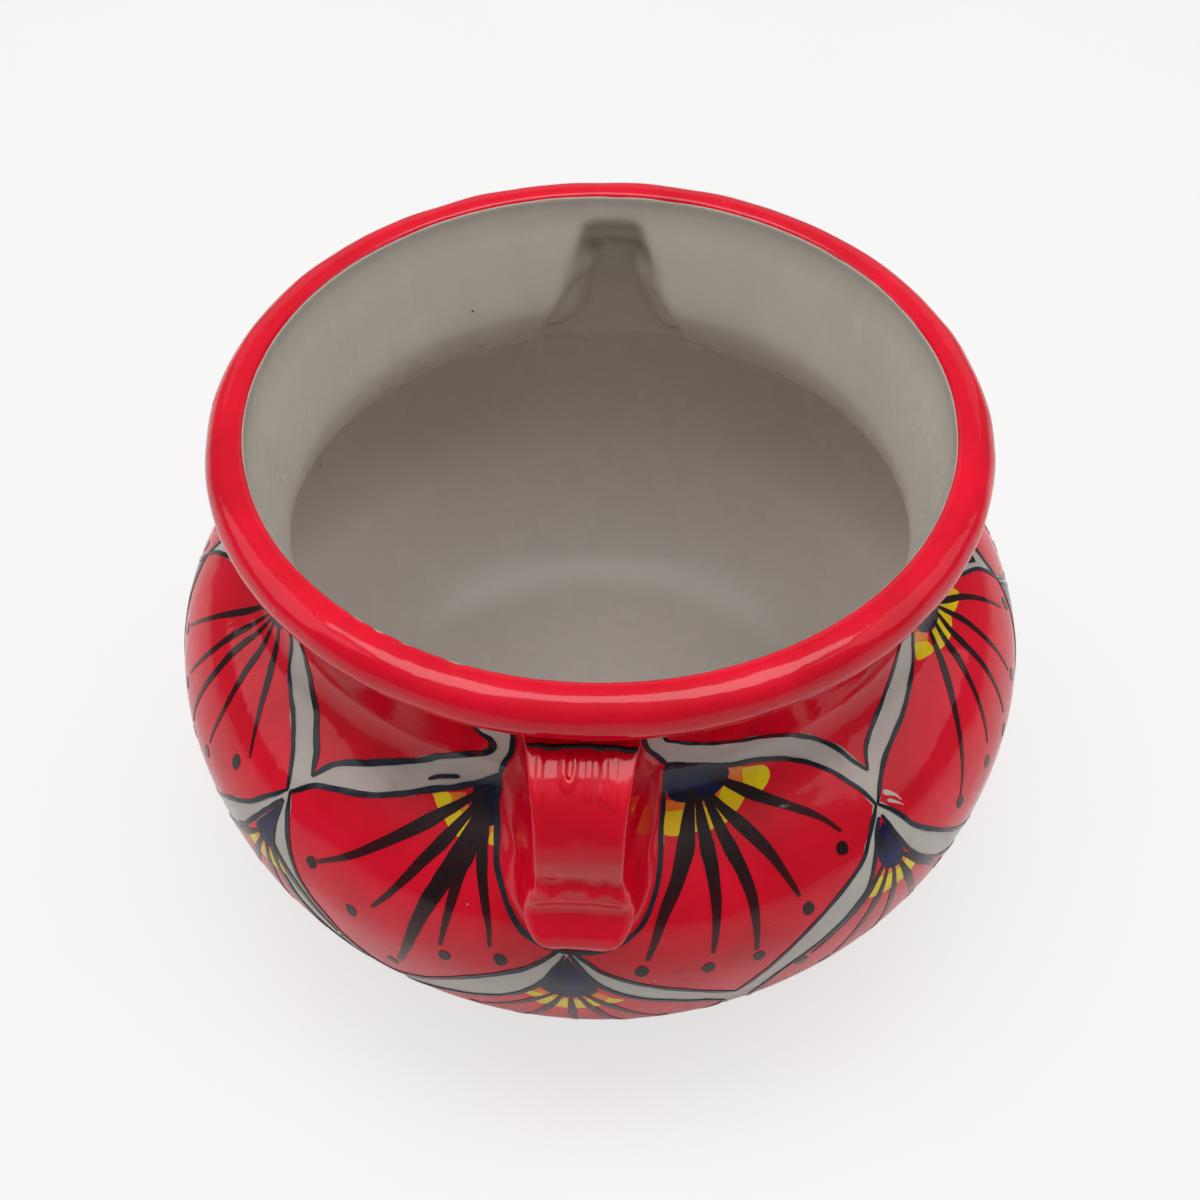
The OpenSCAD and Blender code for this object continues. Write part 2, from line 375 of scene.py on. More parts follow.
class Sheet:
    """Flat work for the pot's wall, with the brush values that its paint reads at each point."""

    def __init__(self):
        self.points, self.faces, self.brush, self.push = [], [], [], []
        self.strokes = 0

    def add(self, points, faces, brush=None, lift=0.0):
        start = len(self.points)
        self.points += [(math.radians(t), v * MM, lift) for t, v in points]
        self.faces += [[start + i for i in face] for face in faces]
        self.brush += brush or [(0.5, 0.0, 0.0)] * len(points)

    def stroke(self, points, width, shape, columns=2, rough=0.2):
        """A brush stroke along a line, its width ruled by shape(part of the way)."""
        self.strokes += 1
        line = flowing(points)
        last = len(line) - 1
        spots, brush = [], []
        for i, (t, v) in enumerate(line):
            a, b = line[max(i - 1, 0)], line[min(i + 1, last)]
            scale = degree_mm(v)
            dx, dy = (b[0] - a[0]) * scale, b[1] - a[1]
            size = math.hypot(dx, dy) or 1.0
            part = i / last
            full = width * shape(part)
            for k in range(columns + 1):
                side = 2 * k / columns - 1
                edge = 1 + rough * waver(i * 0.21, self.strokes * 3.7, side * 1.3)
                off = side * full / 2 * edge
                spots.append((t - dy / size * off / scale, v + dx / size * off))
                brush.append((part, side, self.strokes * 0.37 % 1))
        step = columns + 1
        faces = [
            (i * step + k, (i + 1) * step + k, (i + 1) * step + k + 1, i * step + k + 1)
            for i in range(last) for k in range(columns)
        ]
        self.add(spots, faces, brush, (self.strokes % STROKE_LEVELS) * STROKE_STEP)

    def dot(self, t, v, size, count=12):
        """A round touch of the brush."""
        self.strokes += 1
        scale = degree_mm(v)
        ring = []
        for i in range(count):
            a = 2 * math.pi * i / count
            r = size / 2 * (1 + DOT_ROUGH * waver(math.cos(a) + self.strokes * 2.1, math.sin(a)))
            ring.append((t + r * math.cos(a) / scale, v + DOT_TALL * r * math.sin(a)))
        brush = [(0.2, 0.0, 0.5)] + [(0.2, 1.0, 0.5)] * count
        self.add([(t, v), *ring], [(0, i + 1, (i + 1) % count + 1) for i in range(count)], brush)

    def fill(self, loop, row=2.4):
        """A filled field inside a closed loop, with rows of points so that it follows the wall."""
        flat = [Vector((t * DEGREE_MM, v)) for t, v in loop]
        lows, highs = min(p.y for p in flat), max(p.y for p in flat)
        spots = []
        level = lows + row
        while level < highs - row / 2:
            crossings = sorted(
                a.x + (b.x - a.x) * (level - a.y) / (b.y - a.y)
                for a, b in zip(flat, flat[1:] + flat[:1]) if (a.y > level) != (b.y > level)
            )
            for left, right in zip(crossings[::2], crossings[1::2]):
                count = int((right - left - row) / row)
                for i in range(count):
                    spots.append(Vector((left + (right - left) * (i + 1) / (count + 1), level)))
            level += row
        made, _, faces, *_ = delaunay_2d_cdt(flat + spots, [], [list(range(len(flat)))], 1, 1e-5)
        turned = []
        for a, b, c in faces:
            area = (made[b] - made[a]).cross(made[c] - made[a])
            turned.append((a, b, c) if area > 0 else (a, c, b))
        self.add([(p.x / DEGREE_MM, p.y) for p in made], turned)


def inset(loop, amounts):
    """A closed loop drawn in by an amount of millimetres at each point."""
    flat = [(t * DEGREE_MM, v) for t, v in loop]
    area = sum(a[0] * b[1] - b[0] * a[1] for a, b in zip(flat, flat[1:] + flat[:1]))
    way = 1 if area > 0 else -1
    drawn = []
    for i, (x, y) in enumerate(flat):
        a, b = flat[i - 1], flat[(i + 1) % len(flat)]
        dx, dy = b[0] - a[0], b[1] - a[1]
        size = math.hypot(dx, dy) or 1.0
        drawn.append(((x - way * dy / size * amounts[i]) / DEGREE_MM, y + way * dx / size * amounts[i]))
    return drawn


# The painting of one half of the pot: lines as (turn, length up the outline)

# Length up the outline at which the triangles run in under the rim
TOP_EDGE = 229
LEFT_NEAR_FAN = [
    [(-42.5, 152), (-40, 158), (-37.5, 161.5), (-34.5, 164), (-31, 167), (-27, 172), (-23, 177), (-19, 181),
     (-15.5, 185), (-13, 189)],
    [(-13, 189), (-13, 180), (-12.2, 172), (-11.5, 164), (-10.7, 157), (-9.5, 151), (-8.2, 145), (-6.7, 140),
     (-4.8, 137), (-2.5, 134.5)],
    [(-2.5, 134.5), (-4, 130.5), (-7, 124), (-10.4, 118), (-13.8, 112), (-17.6, 104), (-22, 94),
     (-25.5, 87.5), (-28.5, 88.5), (-31, 96), (-34.2, 109), (-36.4, 117), (-38.4, 126), (-40, 135),
     (-41.2, 143), (-42.5, 152)],
]
RIGHT_NEAR_FAN = [
    [(12.5, 197), (15, 195.5), (18, 193), (22.8, 189.5), (27, 188), (32, 184), (35.6, 179), (38.2, 173.5),
     (39.8, 167), (41, 161.5), (41.7, 156)],
    [(41.7, 156), (39.8, 151), (38.6, 147), (37, 142), (34.8, 138), (32, 133), (29, 127), (26, 119),
     (23, 109), (19.7, 97)],
    [(19.7, 97), (16, 104), (12.5, 110), (9, 115), (5.7, 120), (2.8, 125), (0.9, 130), (-0.8, 134)],
    [(-0.8, 134), (1.6, 134.3), (3.7, 136), (6, 140), (7.7, 145), (9, 152), (10, 159), (10.6, 166),
     (11.2, 174), (11.9, 182), (12.4, 191), (12.5, 197)],
]
LEFT_TRIANGLE = [
    [(-61, TOP_EDGE), (-60.5, 210), (-58, 198), (-54, 189), (-50.5, 183), (-47.2, 178), (-44.5, 172),
     (-42.2, 167), (-40.7, 161)],
    [(-40.7, 161), (-39.6, 166), (-38, 170), (-35.2, 174), (-31.2, 179), (-27, 183.5), (-22.8, 189),
     (-18.4, 194), (-15.2, 198), (-14, 202), (-14.3, 206), (-16.5, 210), (-18, TOP_EDGE)],
]
RIGHT_TRIANGLE = [
    [(12, TOP_EDGE), (12, 212), (14, 208), (18, 204), (22.6, 201), (29, 197), (34.6, 190.5), (38.6, 184),
     (41, 178), (42.3, 172), (43.3, 166.5)],
    [(43.3, 166.5), (45.6, 173), (49.3, 177.5), (54, 182), (58, 186.5), (60.6, 191), (63, 199), (65, 210),
     (65.5, TOP_EDGE)],
]
SIDE_TRIANGLE = [
    [(77.5, TOP_EDGE), (78, 212), (80.5, 198), (84, 187), (86.7, 177), (90, 163)],
    [(90, 163), (93.5, 170.5), (96.5, 178), (99, 186), (101.5, 196), (103, 210), (103.5, TOP_EDGE)],
]
LEFT_FAR_FAN = [
    [(-67, 200), (-63.5, 197), (-60.5, 191), (-58.5, 186), (-56.7, 180), (-53.8, 175.5), (-50, 171),
     (-47.1, 166), (-44.8, 160), (-43, 152)],
    [(-43, 152), (-44.2, 148.5), (-45.8, 144), (-47.7, 138), (-50.3, 132), (-54, 124), (-59, 110), (-64, 98),
     (-67, 94), (-70, 97.5), (-75, 110), (-80, 124), (-84, 134), (-87.5, 142.5), (-90, 150)],
    [(-90, 150), (-88.2, 158), (-85.5, 165), (-82, 171.5), (-79, 178), (-77.5, 186), (-73.5, 193),
     (-70.5, 198), (-67, 200)],
]
RIGHT_FAR_FAN = [
    [(72, 201), (68.5, 196), (65.8, 188), (63, 181), (58.7, 176), (54, 172), (49.8, 169), (46.7, 166),
     (44.3, 162), (42, 156)],
    [(42, 156), (43.3, 152), (44.4, 148), (45.8, 142), (48.2, 135), (52.3, 124.5), (58, 110), (63.5, 98),
     (67.5, 93), (71.5, 97), (77, 110), (82.5, 124), (86, 134), (88.5, 142.5), (90, 150)],
    [(90, 150), (89.5, 157), (88, 164), (85, 171), (82, 179), (79.5, 187), (76, 196.5), (72, 201)],
]
CUSP_FAN = [
    [(-1.8, 132.5), (-3.2, 125), (-5, 116), (-7.1, 109), (-9.9, 102.5), (-14, 96), (-18, 90.5), (-22.5, 82),
     (-25.5, 74)],
    [(-25.5, 74), (-22, 55), (-15, 40), (-3, 33), (9, 40), (15.5, 58), (18.8, 87)],
    [(18.8, 87), (16, 94.5), (11.7, 101), (7.3, 107), (4, 113), (1.8, 119.5), (0.1, 127), (-1.2, 133)],
]
LOW_LEFT_FAN = [
    [(-43.1, 148), (-44.4, 142.5), (-46.2, 135), (-48.9, 124), (-53, 112), (-57.5, 100), (-61, 91),
     (-63.5, 83)],
    [(-63.5, 83), (-60.5, 57), (-55, 41), (-47, 34), (-39, 41), (-33, 56), (-30.5, 76)],
    [(-30.5, 76), (-34, 87), (-37.5, 98), (-40, 108), (-41.5, 117), (-42.3, 126), (-42.8, 133), (-42.9, 140),
     (-42.9, 148)],
]
LOW_RIGHT_FAN = [
    [(41.3, 152), (40.1, 147.5), (38.5, 138), (37.1, 130), (35.3, 125), (33.3, 120), (29.6, 112), (25.8, 104),
     (23.8, 95), (22.5, 86)],
    [(22.5, 86), (25, 60), (32, 42), (43, 34), (53, 42), (60, 58), (63, 83)],
    [(63, 83), (60, 91.5), (56, 101), (51, 113), (46.8, 125), (44.2, 134.5), (42.6, 144), (41.8, 152)],
]
LOW_SIDE_FAN = [
    [(89.8, 146.5), (87.5, 138), (84.5, 129), (80.5, 117), (76, 105), (72.5, 95), (70.5, 84)],
    [(70.5, 84), (74, 58), (81, 42), (91, 34), (101, 42), (107.5, 58), (110.5, 85)],
    [(110.5, 85), (108, 95), (104, 105), (99.5, 117), (95.5, 129), (92.5, 138), (90.2, 146.5)],
]
FOOT_FIELD = [
    [(-90, 25.5), (-82, 31), (-74, 44), (-69, 55), (-66.5, 66)],
    [(-66.5, 66), (-63, 50), (-57, 34), (-47, 25.5), (-38, 32), (-32, 45), (-28, 60)],
    [(-28, 60), (-24, 45), (-17, 31), (-3, 24.5), (10, 31), (17, 46), (20.7, 68)],
    [(20.7, 68), (24, 48), (31, 33), (43, 25.5), (54, 33), (61, 46), (66.8, 66)],
    [(66.8, 66), (70, 50), (77, 34), (90, 25.5)],
]
FOOT_EDGE = [(90, 5), (0, 5), (-90, 5)]
# Fields with the width of their outlines
FIELDS = [
    (LEFT_NEAR_FAN, 1.9), (RIGHT_NEAR_FAN, 1.5), (LEFT_TRIANGLE, 2.2), (RIGHT_TRIANGLE, 1.45),
    (SIDE_TRIANGLE, 1.7), (LEFT_FAR_FAN, 1.6), (RIGHT_FAR_FAN, 1.6), (CUSP_FAN, 1.7), (LOW_LEFT_FAN, 1.7),
    (LOW_RIGHT_FAN, 1.6), (LOW_SIDE_FAN, 1.7),
]

# Red under the tip of the handle
TONGUE_PATCH = [
    (-7, 141), (-4.8, 137), (-2.5, 134.6), (-0.8, 134.2), (1.6, 134.5), (3.7, 136), (6.3, 141),
]
# Lines beside the handle that run on up to the rim, and the line round its tip
HANDLE_LINES = [
    [(-13, 189), (-12.3, 195), (-11.2, 200), (-10.7, 206), (-10.5, 215), (-10.8, 225)],
    [(12.5, 197), (10.9, 202), (9.4, 207), (8.8, 215), (9, 225)],
    [(-5, 137), (-2.6, 134.7), (-0.8, 134.1), (1.6, 134.4), (4, 136.3)],
]
# A short dash in the left band, and its width
BAND_DASH, DASH_W = [(-24.2, 179.5), (-22.3, 182), (-19.4, 184)], 1.3

# Rays of the upper fans as (width, line), and the dots beyond their tips
LEFT_NEAR_RAYS = [
    (4.6, [(-15.2, 182), (-17.8, 177), (-20, 172), (-23.3, 164), (-26.8, 155.5), (-30.7, 146), (-35, 137)]),
    (4.4, [(-15.2, 180), (-16.9, 173), (-19, 163), (-21.6, 152), (-24, 141), (-26.3, 132)]),
    (6.4, [(-15.0, 178), (-15.9, 168), (-17.2, 155), (-19, 143), (-20.6, 129), (-21.7, 118), (-23.2, 106)]),
    (4.2, [(-14.6, 177), (-15.0, 163), (-15.7, 156), (-16, 148), (-16.5, 137), (-17, 127)]),
    (3.8, [(-14.2, 177), (-13.6, 166), (-13, 158), (-12, 149), (-11.1, 140), (-10.8, 132)]),
]
LEFT_NEAR_DOTS = [(-35.8, 135), (-29.3, 125), (-24.4, 103), (-16.5, 122), (-9.4, 127)]
RIGHT_NEAR_RAYS = [
    (5.6, [(16.6, 185), (15.9, 180), (15.1, 174), (14, 166), (12.1, 156), (10.1, 146), (8, 130)]),
    (4.8, [(17.2, 182), (17.1, 176), (17, 168), (17, 158), (16.8, 147), (16.4, 138), (15.9, 129)]),
    (4.8, [(18.2, 182), (19, 175), (19.7, 167), (20.8, 156), (21.4, 146), (21.5, 136), (21.4, 125)]),
    (4.7, [(19, 181), (20.5, 176), (22.8, 168), (24.9, 159), (26.3, 150), (27.5, 141)]),
    (4.2, [(19.5, 187), (21.6, 184), (26, 176.5), (30.3, 169), (33.5, 162), (35.4, 155)]),
]
RIGHT_NEAR_DOTS = [(7.3, 125), (15.4, 122), (21.8, 121), (28.4, 135), (34.7, 150)]
LEFT_FAR_RAYS = [
    (3.0, [(-69, 182), (-71.2, 177), (-73.5, 166), (-78.8, 142)]),
    (3.0, [(-68, 181), (-68.8, 176), (-69.4, 166), (-70, 153), (-71.8, 137)]),
    (3.2, [(-66.8, 183), (-66.9, 177), (-66.7, 166), (-66.2, 153), (-66.5, 140), (-67, 126)]),
    (3.0, [(-66, 184), (-65.3, 180), (-63, 170), (-60.9, 158), (-60, 148), (-60, 135)]),
    (3.0, [(-64.5, 186), (-62.8, 182), (-60, 175), (-56.3, 167), (-53.3, 158), (-51.1, 149)]),
]
LEFT_FAR_DOTS = [(-79.8, 137), (-72.5, 130), (-67.2, 119), (-60.4, 129), (-53.1, 143)]
RIGHT_FAR_RAYS = [
    (2.8, [(75, 182), (77.8, 176.5), (80.8, 169.5), (82.8, 161), (84.8, 149)]),
    (2.8, [(74.5, 181), (75.8, 177.5), (76.6, 169), (76.4, 156.5), (76.5, 139)]),
    (3.0, [(73, 182), (74.2, 178), (72.6, 167), (71.8, 153), (70.7, 134)]),
    (3.0, [(72, 183), (72.5, 179.5), (70.1, 169), (67.2, 156), (64, 137)]),
    (3.2, [(70.6, 185), (70.4, 181), (68.1, 173.5), (63.5, 163), (59.9, 152.5), (55.2, 133.5)]),
]
RIGHT_FAR_DOTS = [(86.8, 145), (77.5, 134), (70.2, 126), (63.1, 130), (55, 131.5)]
# Rays, dots, middle of the eye, and how far from it the orange starts, the yellow starts and the yellow ends
FAN_RAYS = [
    (LEFT_NEAR_RAYS, LEFT_NEAR_DOTS, (-14.8, 181), (7, 10.5, 15.5)),
    (RIGHT_NEAR_RAYS, RIGHT_NEAR_DOTS, (17.5, 187), (6, 10, 16)),
    (LEFT_FAR_RAYS, LEFT_FAR_DOTS, (-67, 188), None),
    (RIGHT_FAR_RAYS, RIGHT_FAR_DOTS, (72.3, 188), (8, 11, 16.5)),
]
# Lower fans, whose rays follow a rule: middles of their eyes, and where their dabs start and end, as above
LOW_EYES = [(-1.2, 117), (-44, 134), (41.3, 140), (90, 131)]
LOW_DABS = (7, 11, 17)
# Their rays: lean from straight down, length, how much shorter the outer ones are, width, points along them
LOW_LEANS = (-42, -21, 1, 22, 41)
LOW_RAY_LONG, LOW_RAY_SHORTER, LOW_RAY_W = 54, 9, 3.3
LOW_RAY_PARTS = (0.13, 0.3, 0.5, 0.75, 1.0)

# Cobalt eyes, single dabs beside them, and smears of white as (width, line)
EYES = [
    [(-17, 182), (-16.2, 185), (-13.2, 188.3), (-13, 181), (-12.5, 173), (-14.5, 171), (-16.5, 175)],
    [(12.7, 196), (17, 193), (21.9, 189.5), (22.2, 185), (20, 181), (17.6, 179.5), (13.4, 181.5),
     (12.4, 187)],
    [(-62, 191.5), (-64, 196), (-67, 198.5), (-70, 196), (-72.5, 191), (-72, 184), (-69, 182), (-65.5, 182),
     (-62.5, 185)],
    [(67.3, 190), (69, 195), (72, 199), (75, 195.5), (77, 189), (76.5, 181), (73.5, 177.5), (70, 179),
     (67.5, 184)],
    [(-1.5, 132), (-3, 124), (-4.6, 115), (-3, 110.5), (-1.2, 108.5), (0.6, 110.5), (2.1, 114.5), (0, 125)],
    [(-43.1, 146), (-44.4, 140), (-46.3, 131), (-45, 127), (-43.6, 126), (-43, 127.5), (-42.9, 137)],
    [(41.5, 150), (42.6, 142), (43.3, 135), (42.2, 131.5), (40.5, 133), (39.4, 138), (39.6, 145)],
    [(90, 145), (87.8, 136.5), (86, 130), (88, 126), (90, 124.5), (92, 126), (94, 130), (92.2, 136.5)],
]
ORANGE_DABS = [
    [(12.1, 182), (15.5, 180.5), (15.2, 177), (11.7, 178)],
    [(22.1, 188.5), (24.9, 187), (24.7, 181.5), (22, 184.5)],
    [(-20.7, 177.6), (-18, 179.6), (-18, 177.5), (-19.8, 174.8)],
    [(-13.4, 173), (-12.4, 173.8), (-12, 169.8), (-13, 169.2)],
    [(66.2, 186), (69, 181), (67.9, 178.5), (64.9, 183)],
    [(-5.4, 114), (-2.8, 111.5), (-3.4, 108), (-5.8, 111)],
    [(1.8, 114), (3.8, 109), (3.2, 106), (1.5, 110)],
]
YELLOW_DABS = [
    [(11.7, 178.4), (15.2, 177.3), (14.4, 170.8), (11.3, 171.7)],
    [(24.8, 187), (28.3, 185), (28.9, 181), (27.4, 177.7), (26.2, 177.3), (24.5, 181)],
    [(-22.9, 175.8), (-20.5, 177.8), (-19.7, 175), (-21, 171.8)],
    [(-13, 169.3), (-12.1, 170), (-11.8, 166.4), (-12.8, 166)],
    [(64.8, 183.3), (67.8, 178.6), (67.5, 174.7), (65.2, 176.3), (63.4, 179)],
    [(81.6, 174), (81.6, 170.9), (79.9, 170.3), (77, 171.6), (76.3, 173.8), (78, 176)],
    [(-5.9, 111.5), (-3.5, 108.4), (-3.6, 104.4), (-6.6, 108.8)],
    [(3.4, 109), (5.3, 107), (4.2, 104.6), (2.9, 105)],
]
WHITE_SMEARS = [
    (2.0, [(43.6, 158), (44.4, 156.4), (45.1, 154.4), (45.5, 152)]),
    (1.6, [(43.6, 155), (44.5, 152.8), (45.5, 150)]),
]


def line_shape(part):
    """An outline keeps its width and rounds off at both ends."""
    return min(1, 0.5 + 9 * part, 0.5 + 9 * (1 - part))


def ray_shape(part):
    """A ray leaves the eye slim, swells and thins again to its tip."""
    return min(1, 0.36 + 1.9 * part) * (1 - 0.72 * max((part - 0.3) / 0.7, 0) ** 1.25)


def smear_shape(part):
    """A smear thins away at its end."""
    return min(1, 0.4 + 4 * part) * (1 - 0.85 * part)


OUTLINE_W = 1.7
DOT_SIZE = 4.6
# How unevenly a stroke's edges run
OUTLINE_ROUGH, RAY_ROUGH, SMEAR_ROUGH = 0.28, 0.07, 0.3
# How far a red field is drawn in from its outlines, and how much that varies
PALE_GAP, PALE_GAP_VARIES = 0.7, 0.6
# How far a yellow dab runs in under the orange one, and how far past a low ray's tip its dot lies
DAB_OVERLAP, DOT_BEYOND = 0.5, 0.4
# Red strip under the edge of a handle's root: degrees inside its line, and width
ROOT_STRIP, ROOT_STRIP_W = 0.45, 2.2
reds, outlines, rays = Sheet(), Sheet(), Sheet()
eyes, oranges, yellows, whites = Sheet(), Sheet(), Sheet(), Sheet()


def paint_field(sides, width, edge=None):
    """A red field drawn in a little from its outlines, so that here and there a pale line shows."""
    loop, amounts = [], []
    for side in sides:
        outlines.stroke(side, width, line_shape, rough=OUTLINE_ROUGH)
        for t, v in flowing(side, 2.0)[:-1]:
            loop.append((t, v))
            amounts.append(PALE_GAP + PALE_GAP_VARIES * waver(t * 0.25, v * 0.11, 3.0))
    rest = [sides[-1][-1]] + (flowing(edge, 3.0) if edge else [])
    loop += rest
    amounts += [0.0] * len(rest)
    if math.dist(loop[0], loop[-1]) < 0.5:
        loop.pop()
        amounts.pop()
    reds.fill(inset(loop, amounts))


def spot_at(line, middle, distance):
    """Point of a ray at a distance of millimetres from the middle of its eye."""
    for t, v in flowing(line):
        if math.hypot((t - middle[0]) * degree_mm(v), v - middle[1]) >= distance:
            return t, v
    return line[-1]


def dab(sheet, corners):
    """A soft touch of colour through its corners."""
    sheet.fill(flowing(corners + corners[:1], 1.2)[:-1], 1.2)


def paint_rays(lines, dots, middle, dabs):
    """Rays and dots of one fan, with an orange and a yellow dab between each two rays."""
    for width, line in lines:
        rays.stroke(line, width, ray_shape, columns=3, rough=RAY_ROUGH)
    for t, v in dots:
        rays.dot(t, v, DOT_SIZE)
    if not dabs:
        return
    start, change, stop = dabs
    for (_, one), (_, two) in zip(lines, lines[1:]):
        for sheet, near, far in [(oranges, start, change), (yellows, change - DAB_OVERLAP, stop)]:
            corners = [spot_at(one, middle, near), spot_at(one, middle, far)]
            corners += [spot_at(two, middle, far), spot_at(two, middle, near)]
            dab(sheet, corners)


def low_fan_rays(middle):
    """Rays of a lower fan spread downwards from its eye."""
    lines, dots = [], []
    for i, lean in enumerate(LOW_LEANS):
        a = math.radians(lean)
        reach = LOW_RAY_LONG - LOW_RAY_SHORTER * abs(lean) / abs(LOW_LEANS[0]) + 3 * waver(i * 1.7, middle[0])
        bend = 0.12 * math.sin(a)
        line = []
        for part in LOW_RAY_PARTS:
            away = reach * part
            across = away * math.sin(a) * (1 - bend * part)
            v = middle[1] - away * math.cos(a)
            line.append((middle[0] + across / degree_mm(v), v))
        lines.append((LOW_RAY_W + 0.5 * waver(i * 2.3, middle[0]), line))
        (t0, v0), (t1, v1) = line[-2:]
        dots.append((t1 + DOT_BEYOND * (t1 - t0), v1 + DOT_BEYOND * (v1 - v0)))
    return lines, dots


for sides, width in FIELDS:
    top = None
    if sides[0][0][1] == TOP_EDGE:
        right, left = sides[-1][-1][0], sides[0][0][0]
        top = [(turn, TOP_EDGE) for turn in (right, (left + right) / 2, left)]
    paint_field(sides, width, top)
paint_field(FOOT_FIELD, OUTLINE_W, FOOT_EDGE)
for line in HANDLE_LINES:
    outlines.stroke(line, OUTLINE_W, line_shape)
outlines.stroke(BAND_DASH, DASH_W, line_shape)
for fan in FAN_RAYS:
    paint_rays(*fan)
for middle in LOW_EYES:
    paint_rays(*low_fan_rays(middle), middle, LOW_DABS)
for loop in EYES:
    eyes.fill(flowing(loop + loop[:1], 1.5)[:-1], 2.0)
for loop in ORANGE_DABS:
    dab(oranges, loop)
for loop in YELLOW_DABS:
    dab(yellows, loop)
for width, line in WHITE_SMEARS:
    whites.stroke(line, width, smear_shape, rough=SMEAR_ROUGH)
reds.fill(TONGUE_PATCH)
LEFT_ROOT, RIGHT_ROOT = [LEFT_NEAR_FAN[1], HANDLE_LINES[0]], [RIGHT_NEAR_FAN[3], HANDLE_LINES[1]]
for root, way in ((LEFT_ROOT, 1), (RIGHT_ROOT, -1)):
    for line in root:
        reds.stroke([(t + way * ROOT_STRIP, v) for t, v in line], ROOT_STRIP_W, line_shape)


# Materials

def srgb(red, green, blue):
    """A colour given as 0 to 255 on screen, as the shader's linear values."""
    def linear(value):
        value /= 255
        return value / 12.92 if value < 0.04045 else ((value + 0.055) / 1.055) ** 2.4
    return linear(red), linear(green), linear(blue), 1.0


class Finish(Nodes):
    """A material's nodes, built round one Principled shader."""

    def __init__(self, name, roughness=0.1):
        self.material = bpy.data.materials.new(name)
        self.material.use_nodes = True
        super().__init__(self.material.node_tree)
        self.tree.nodes.clear()
        self.shader = self.add("ShaderNodeBsdfPrincipled", {"Roughness": roughness})
        self.output = self.add("ShaderNodeOutputMaterial", {"Surface": self.shader.outputs[0]})
        self.place = self.add("ShaderNodeTexCoord").outputs["Object"]

    def cloud(self, scale, detail=2.0, stretch=None, roughness=0.5):
        """Soft noise from 0 to 1, at a scale per metre, stretched along the pot where given."""
        where = self.place
        if stretch:
            where = self.add("ShaderNodeMapping", {"Vector": where, "Scale": stretch}).outputs[0]
        return self.add(
            "ShaderNodeTexNoise", {"Vector": where, "Scale": scale, "Detail": detail, "Roughness": roughness}
        ).outputs["Fac"]

    def between(self, value, low, high, start=0.0, end=1.0):
        """Value carried from low..high to start..end, held at its ends."""
        return self.add(
            "ShaderNodeMapRange",
            {"Value": value, "From Min": low, "From Max": high, "To Min": start, "To Max": end},
        ).outputs[0]

    def mix(self, factor, one, two):
        return self.add("ShaderNodeMix", {0: factor, 6: one, 7: two}, data_type="RGBA").outputs[2]

    def specks(self, scale, size, share):
        """1 inside small round specks: scale per metre, size, and share of the places that have one."""
        cell = self.add("ShaderNodeTexVoronoi", {"Vector": self.place, "Scale": scale})
        near = self.math("LESS_THAN", cell.outputs["Distance"], size)
        tint = self.add("ShaderNodeSeparateColor", {0: cell.outputs["Color"]}).outputs[0]
        return self.math("MULTIPLY", near, self.math("LESS_THAN", tint, share))

    def brush(self):
        """The brush values that the piece holds at each point."""
        return self.add("ShaderNodeAttribute", attribute_name="brush").outputs["Vector"]

    def colour(self, socket):
        self.tree.links.new(socket, self.shader.inputs["Base Color"])

    def gloss(self, socket):
        self.tree.links.new(socket, self.shader.inputs["Roughness"])

    def bump(self, height, strength, distance):
        node = self.add("ShaderNodeBump", {"Strength": strength, "Distance": distance, "Height": height})
        self.tree.links.new(node.outputs[0], self.shader.inputs["Normal"])


def glaze_skin(f, ripple=0.25, gloss=(0.06, 0.14), shine=0.38):
    """Gloss and fine orange-peel of a fired glaze."""
    f.shader.inputs["Specular IOR Level"].default_value = shine
    f.gloss(f.between(f.cloud(35, 3), 0.3, 0.7, *gloss))
    height = f.math("ADD", f.cloud(160, 2), f.math("MULTIPLY", f.cloud(45, 2), 2.0))
    f.bump(height, ripple, 0.0006)


def red_glaze():
    """Red with deeper clouds and streaks, and a few pale specks."""
    f = Finish("red glaze")
    deep, bright = srgb(210, 0, 30), srgb(238, 2, 44)
    body = f.mix(f.between(f.cloud(28, 4), 0.3, 0.62), deep, bright)
    streaks = f.between(f.cloud(26, 3, (3.0, 3.0, 0.6)), 0.55, 0.75, 0.0, 0.55)
    body = f.mix(streaks, body, srgb(215, 0, 33))
    f.colour(f.mix(f.specks(170, 0.06, 0.06), body, srgb(226, 150, 140)))
    glaze_skin(f)
    return f.material


def band_white():
    """Grey white between the fields, stained and specked by the clay."""
    f = Finish("white band glaze")
    body = f.mix(f.between(f.cloud(24, 4), 0.3, 0.7), srgb(186, 180, 172), srgb(201, 196, 188))
    stain = f.between(f.cloud(60, 4), 0.62, 0.8, 0.0, 0.5)
    body = f.mix(stain, body, srgb(160, 136, 126))
    f.colour(f.mix(f.specks(120, 0.07, 0.1), body, srgb(120, 84, 62)))
    glaze_skin(f)
    return f.material


# Heights between which the lining's tone changes: from the floor's painted shade to the bowl, bowl to collar,
# and collar to the band of painted shade under the rim
FLOOR_SHADE_FADE = (9 * MM, 48 * MM)
COLLAR_TONE = (throat_z - 14 * MM, throat_z - 2 * MM)
RIM_SHADE = (roll_z + 2 * MM, roll_z + 6.5 * MM)


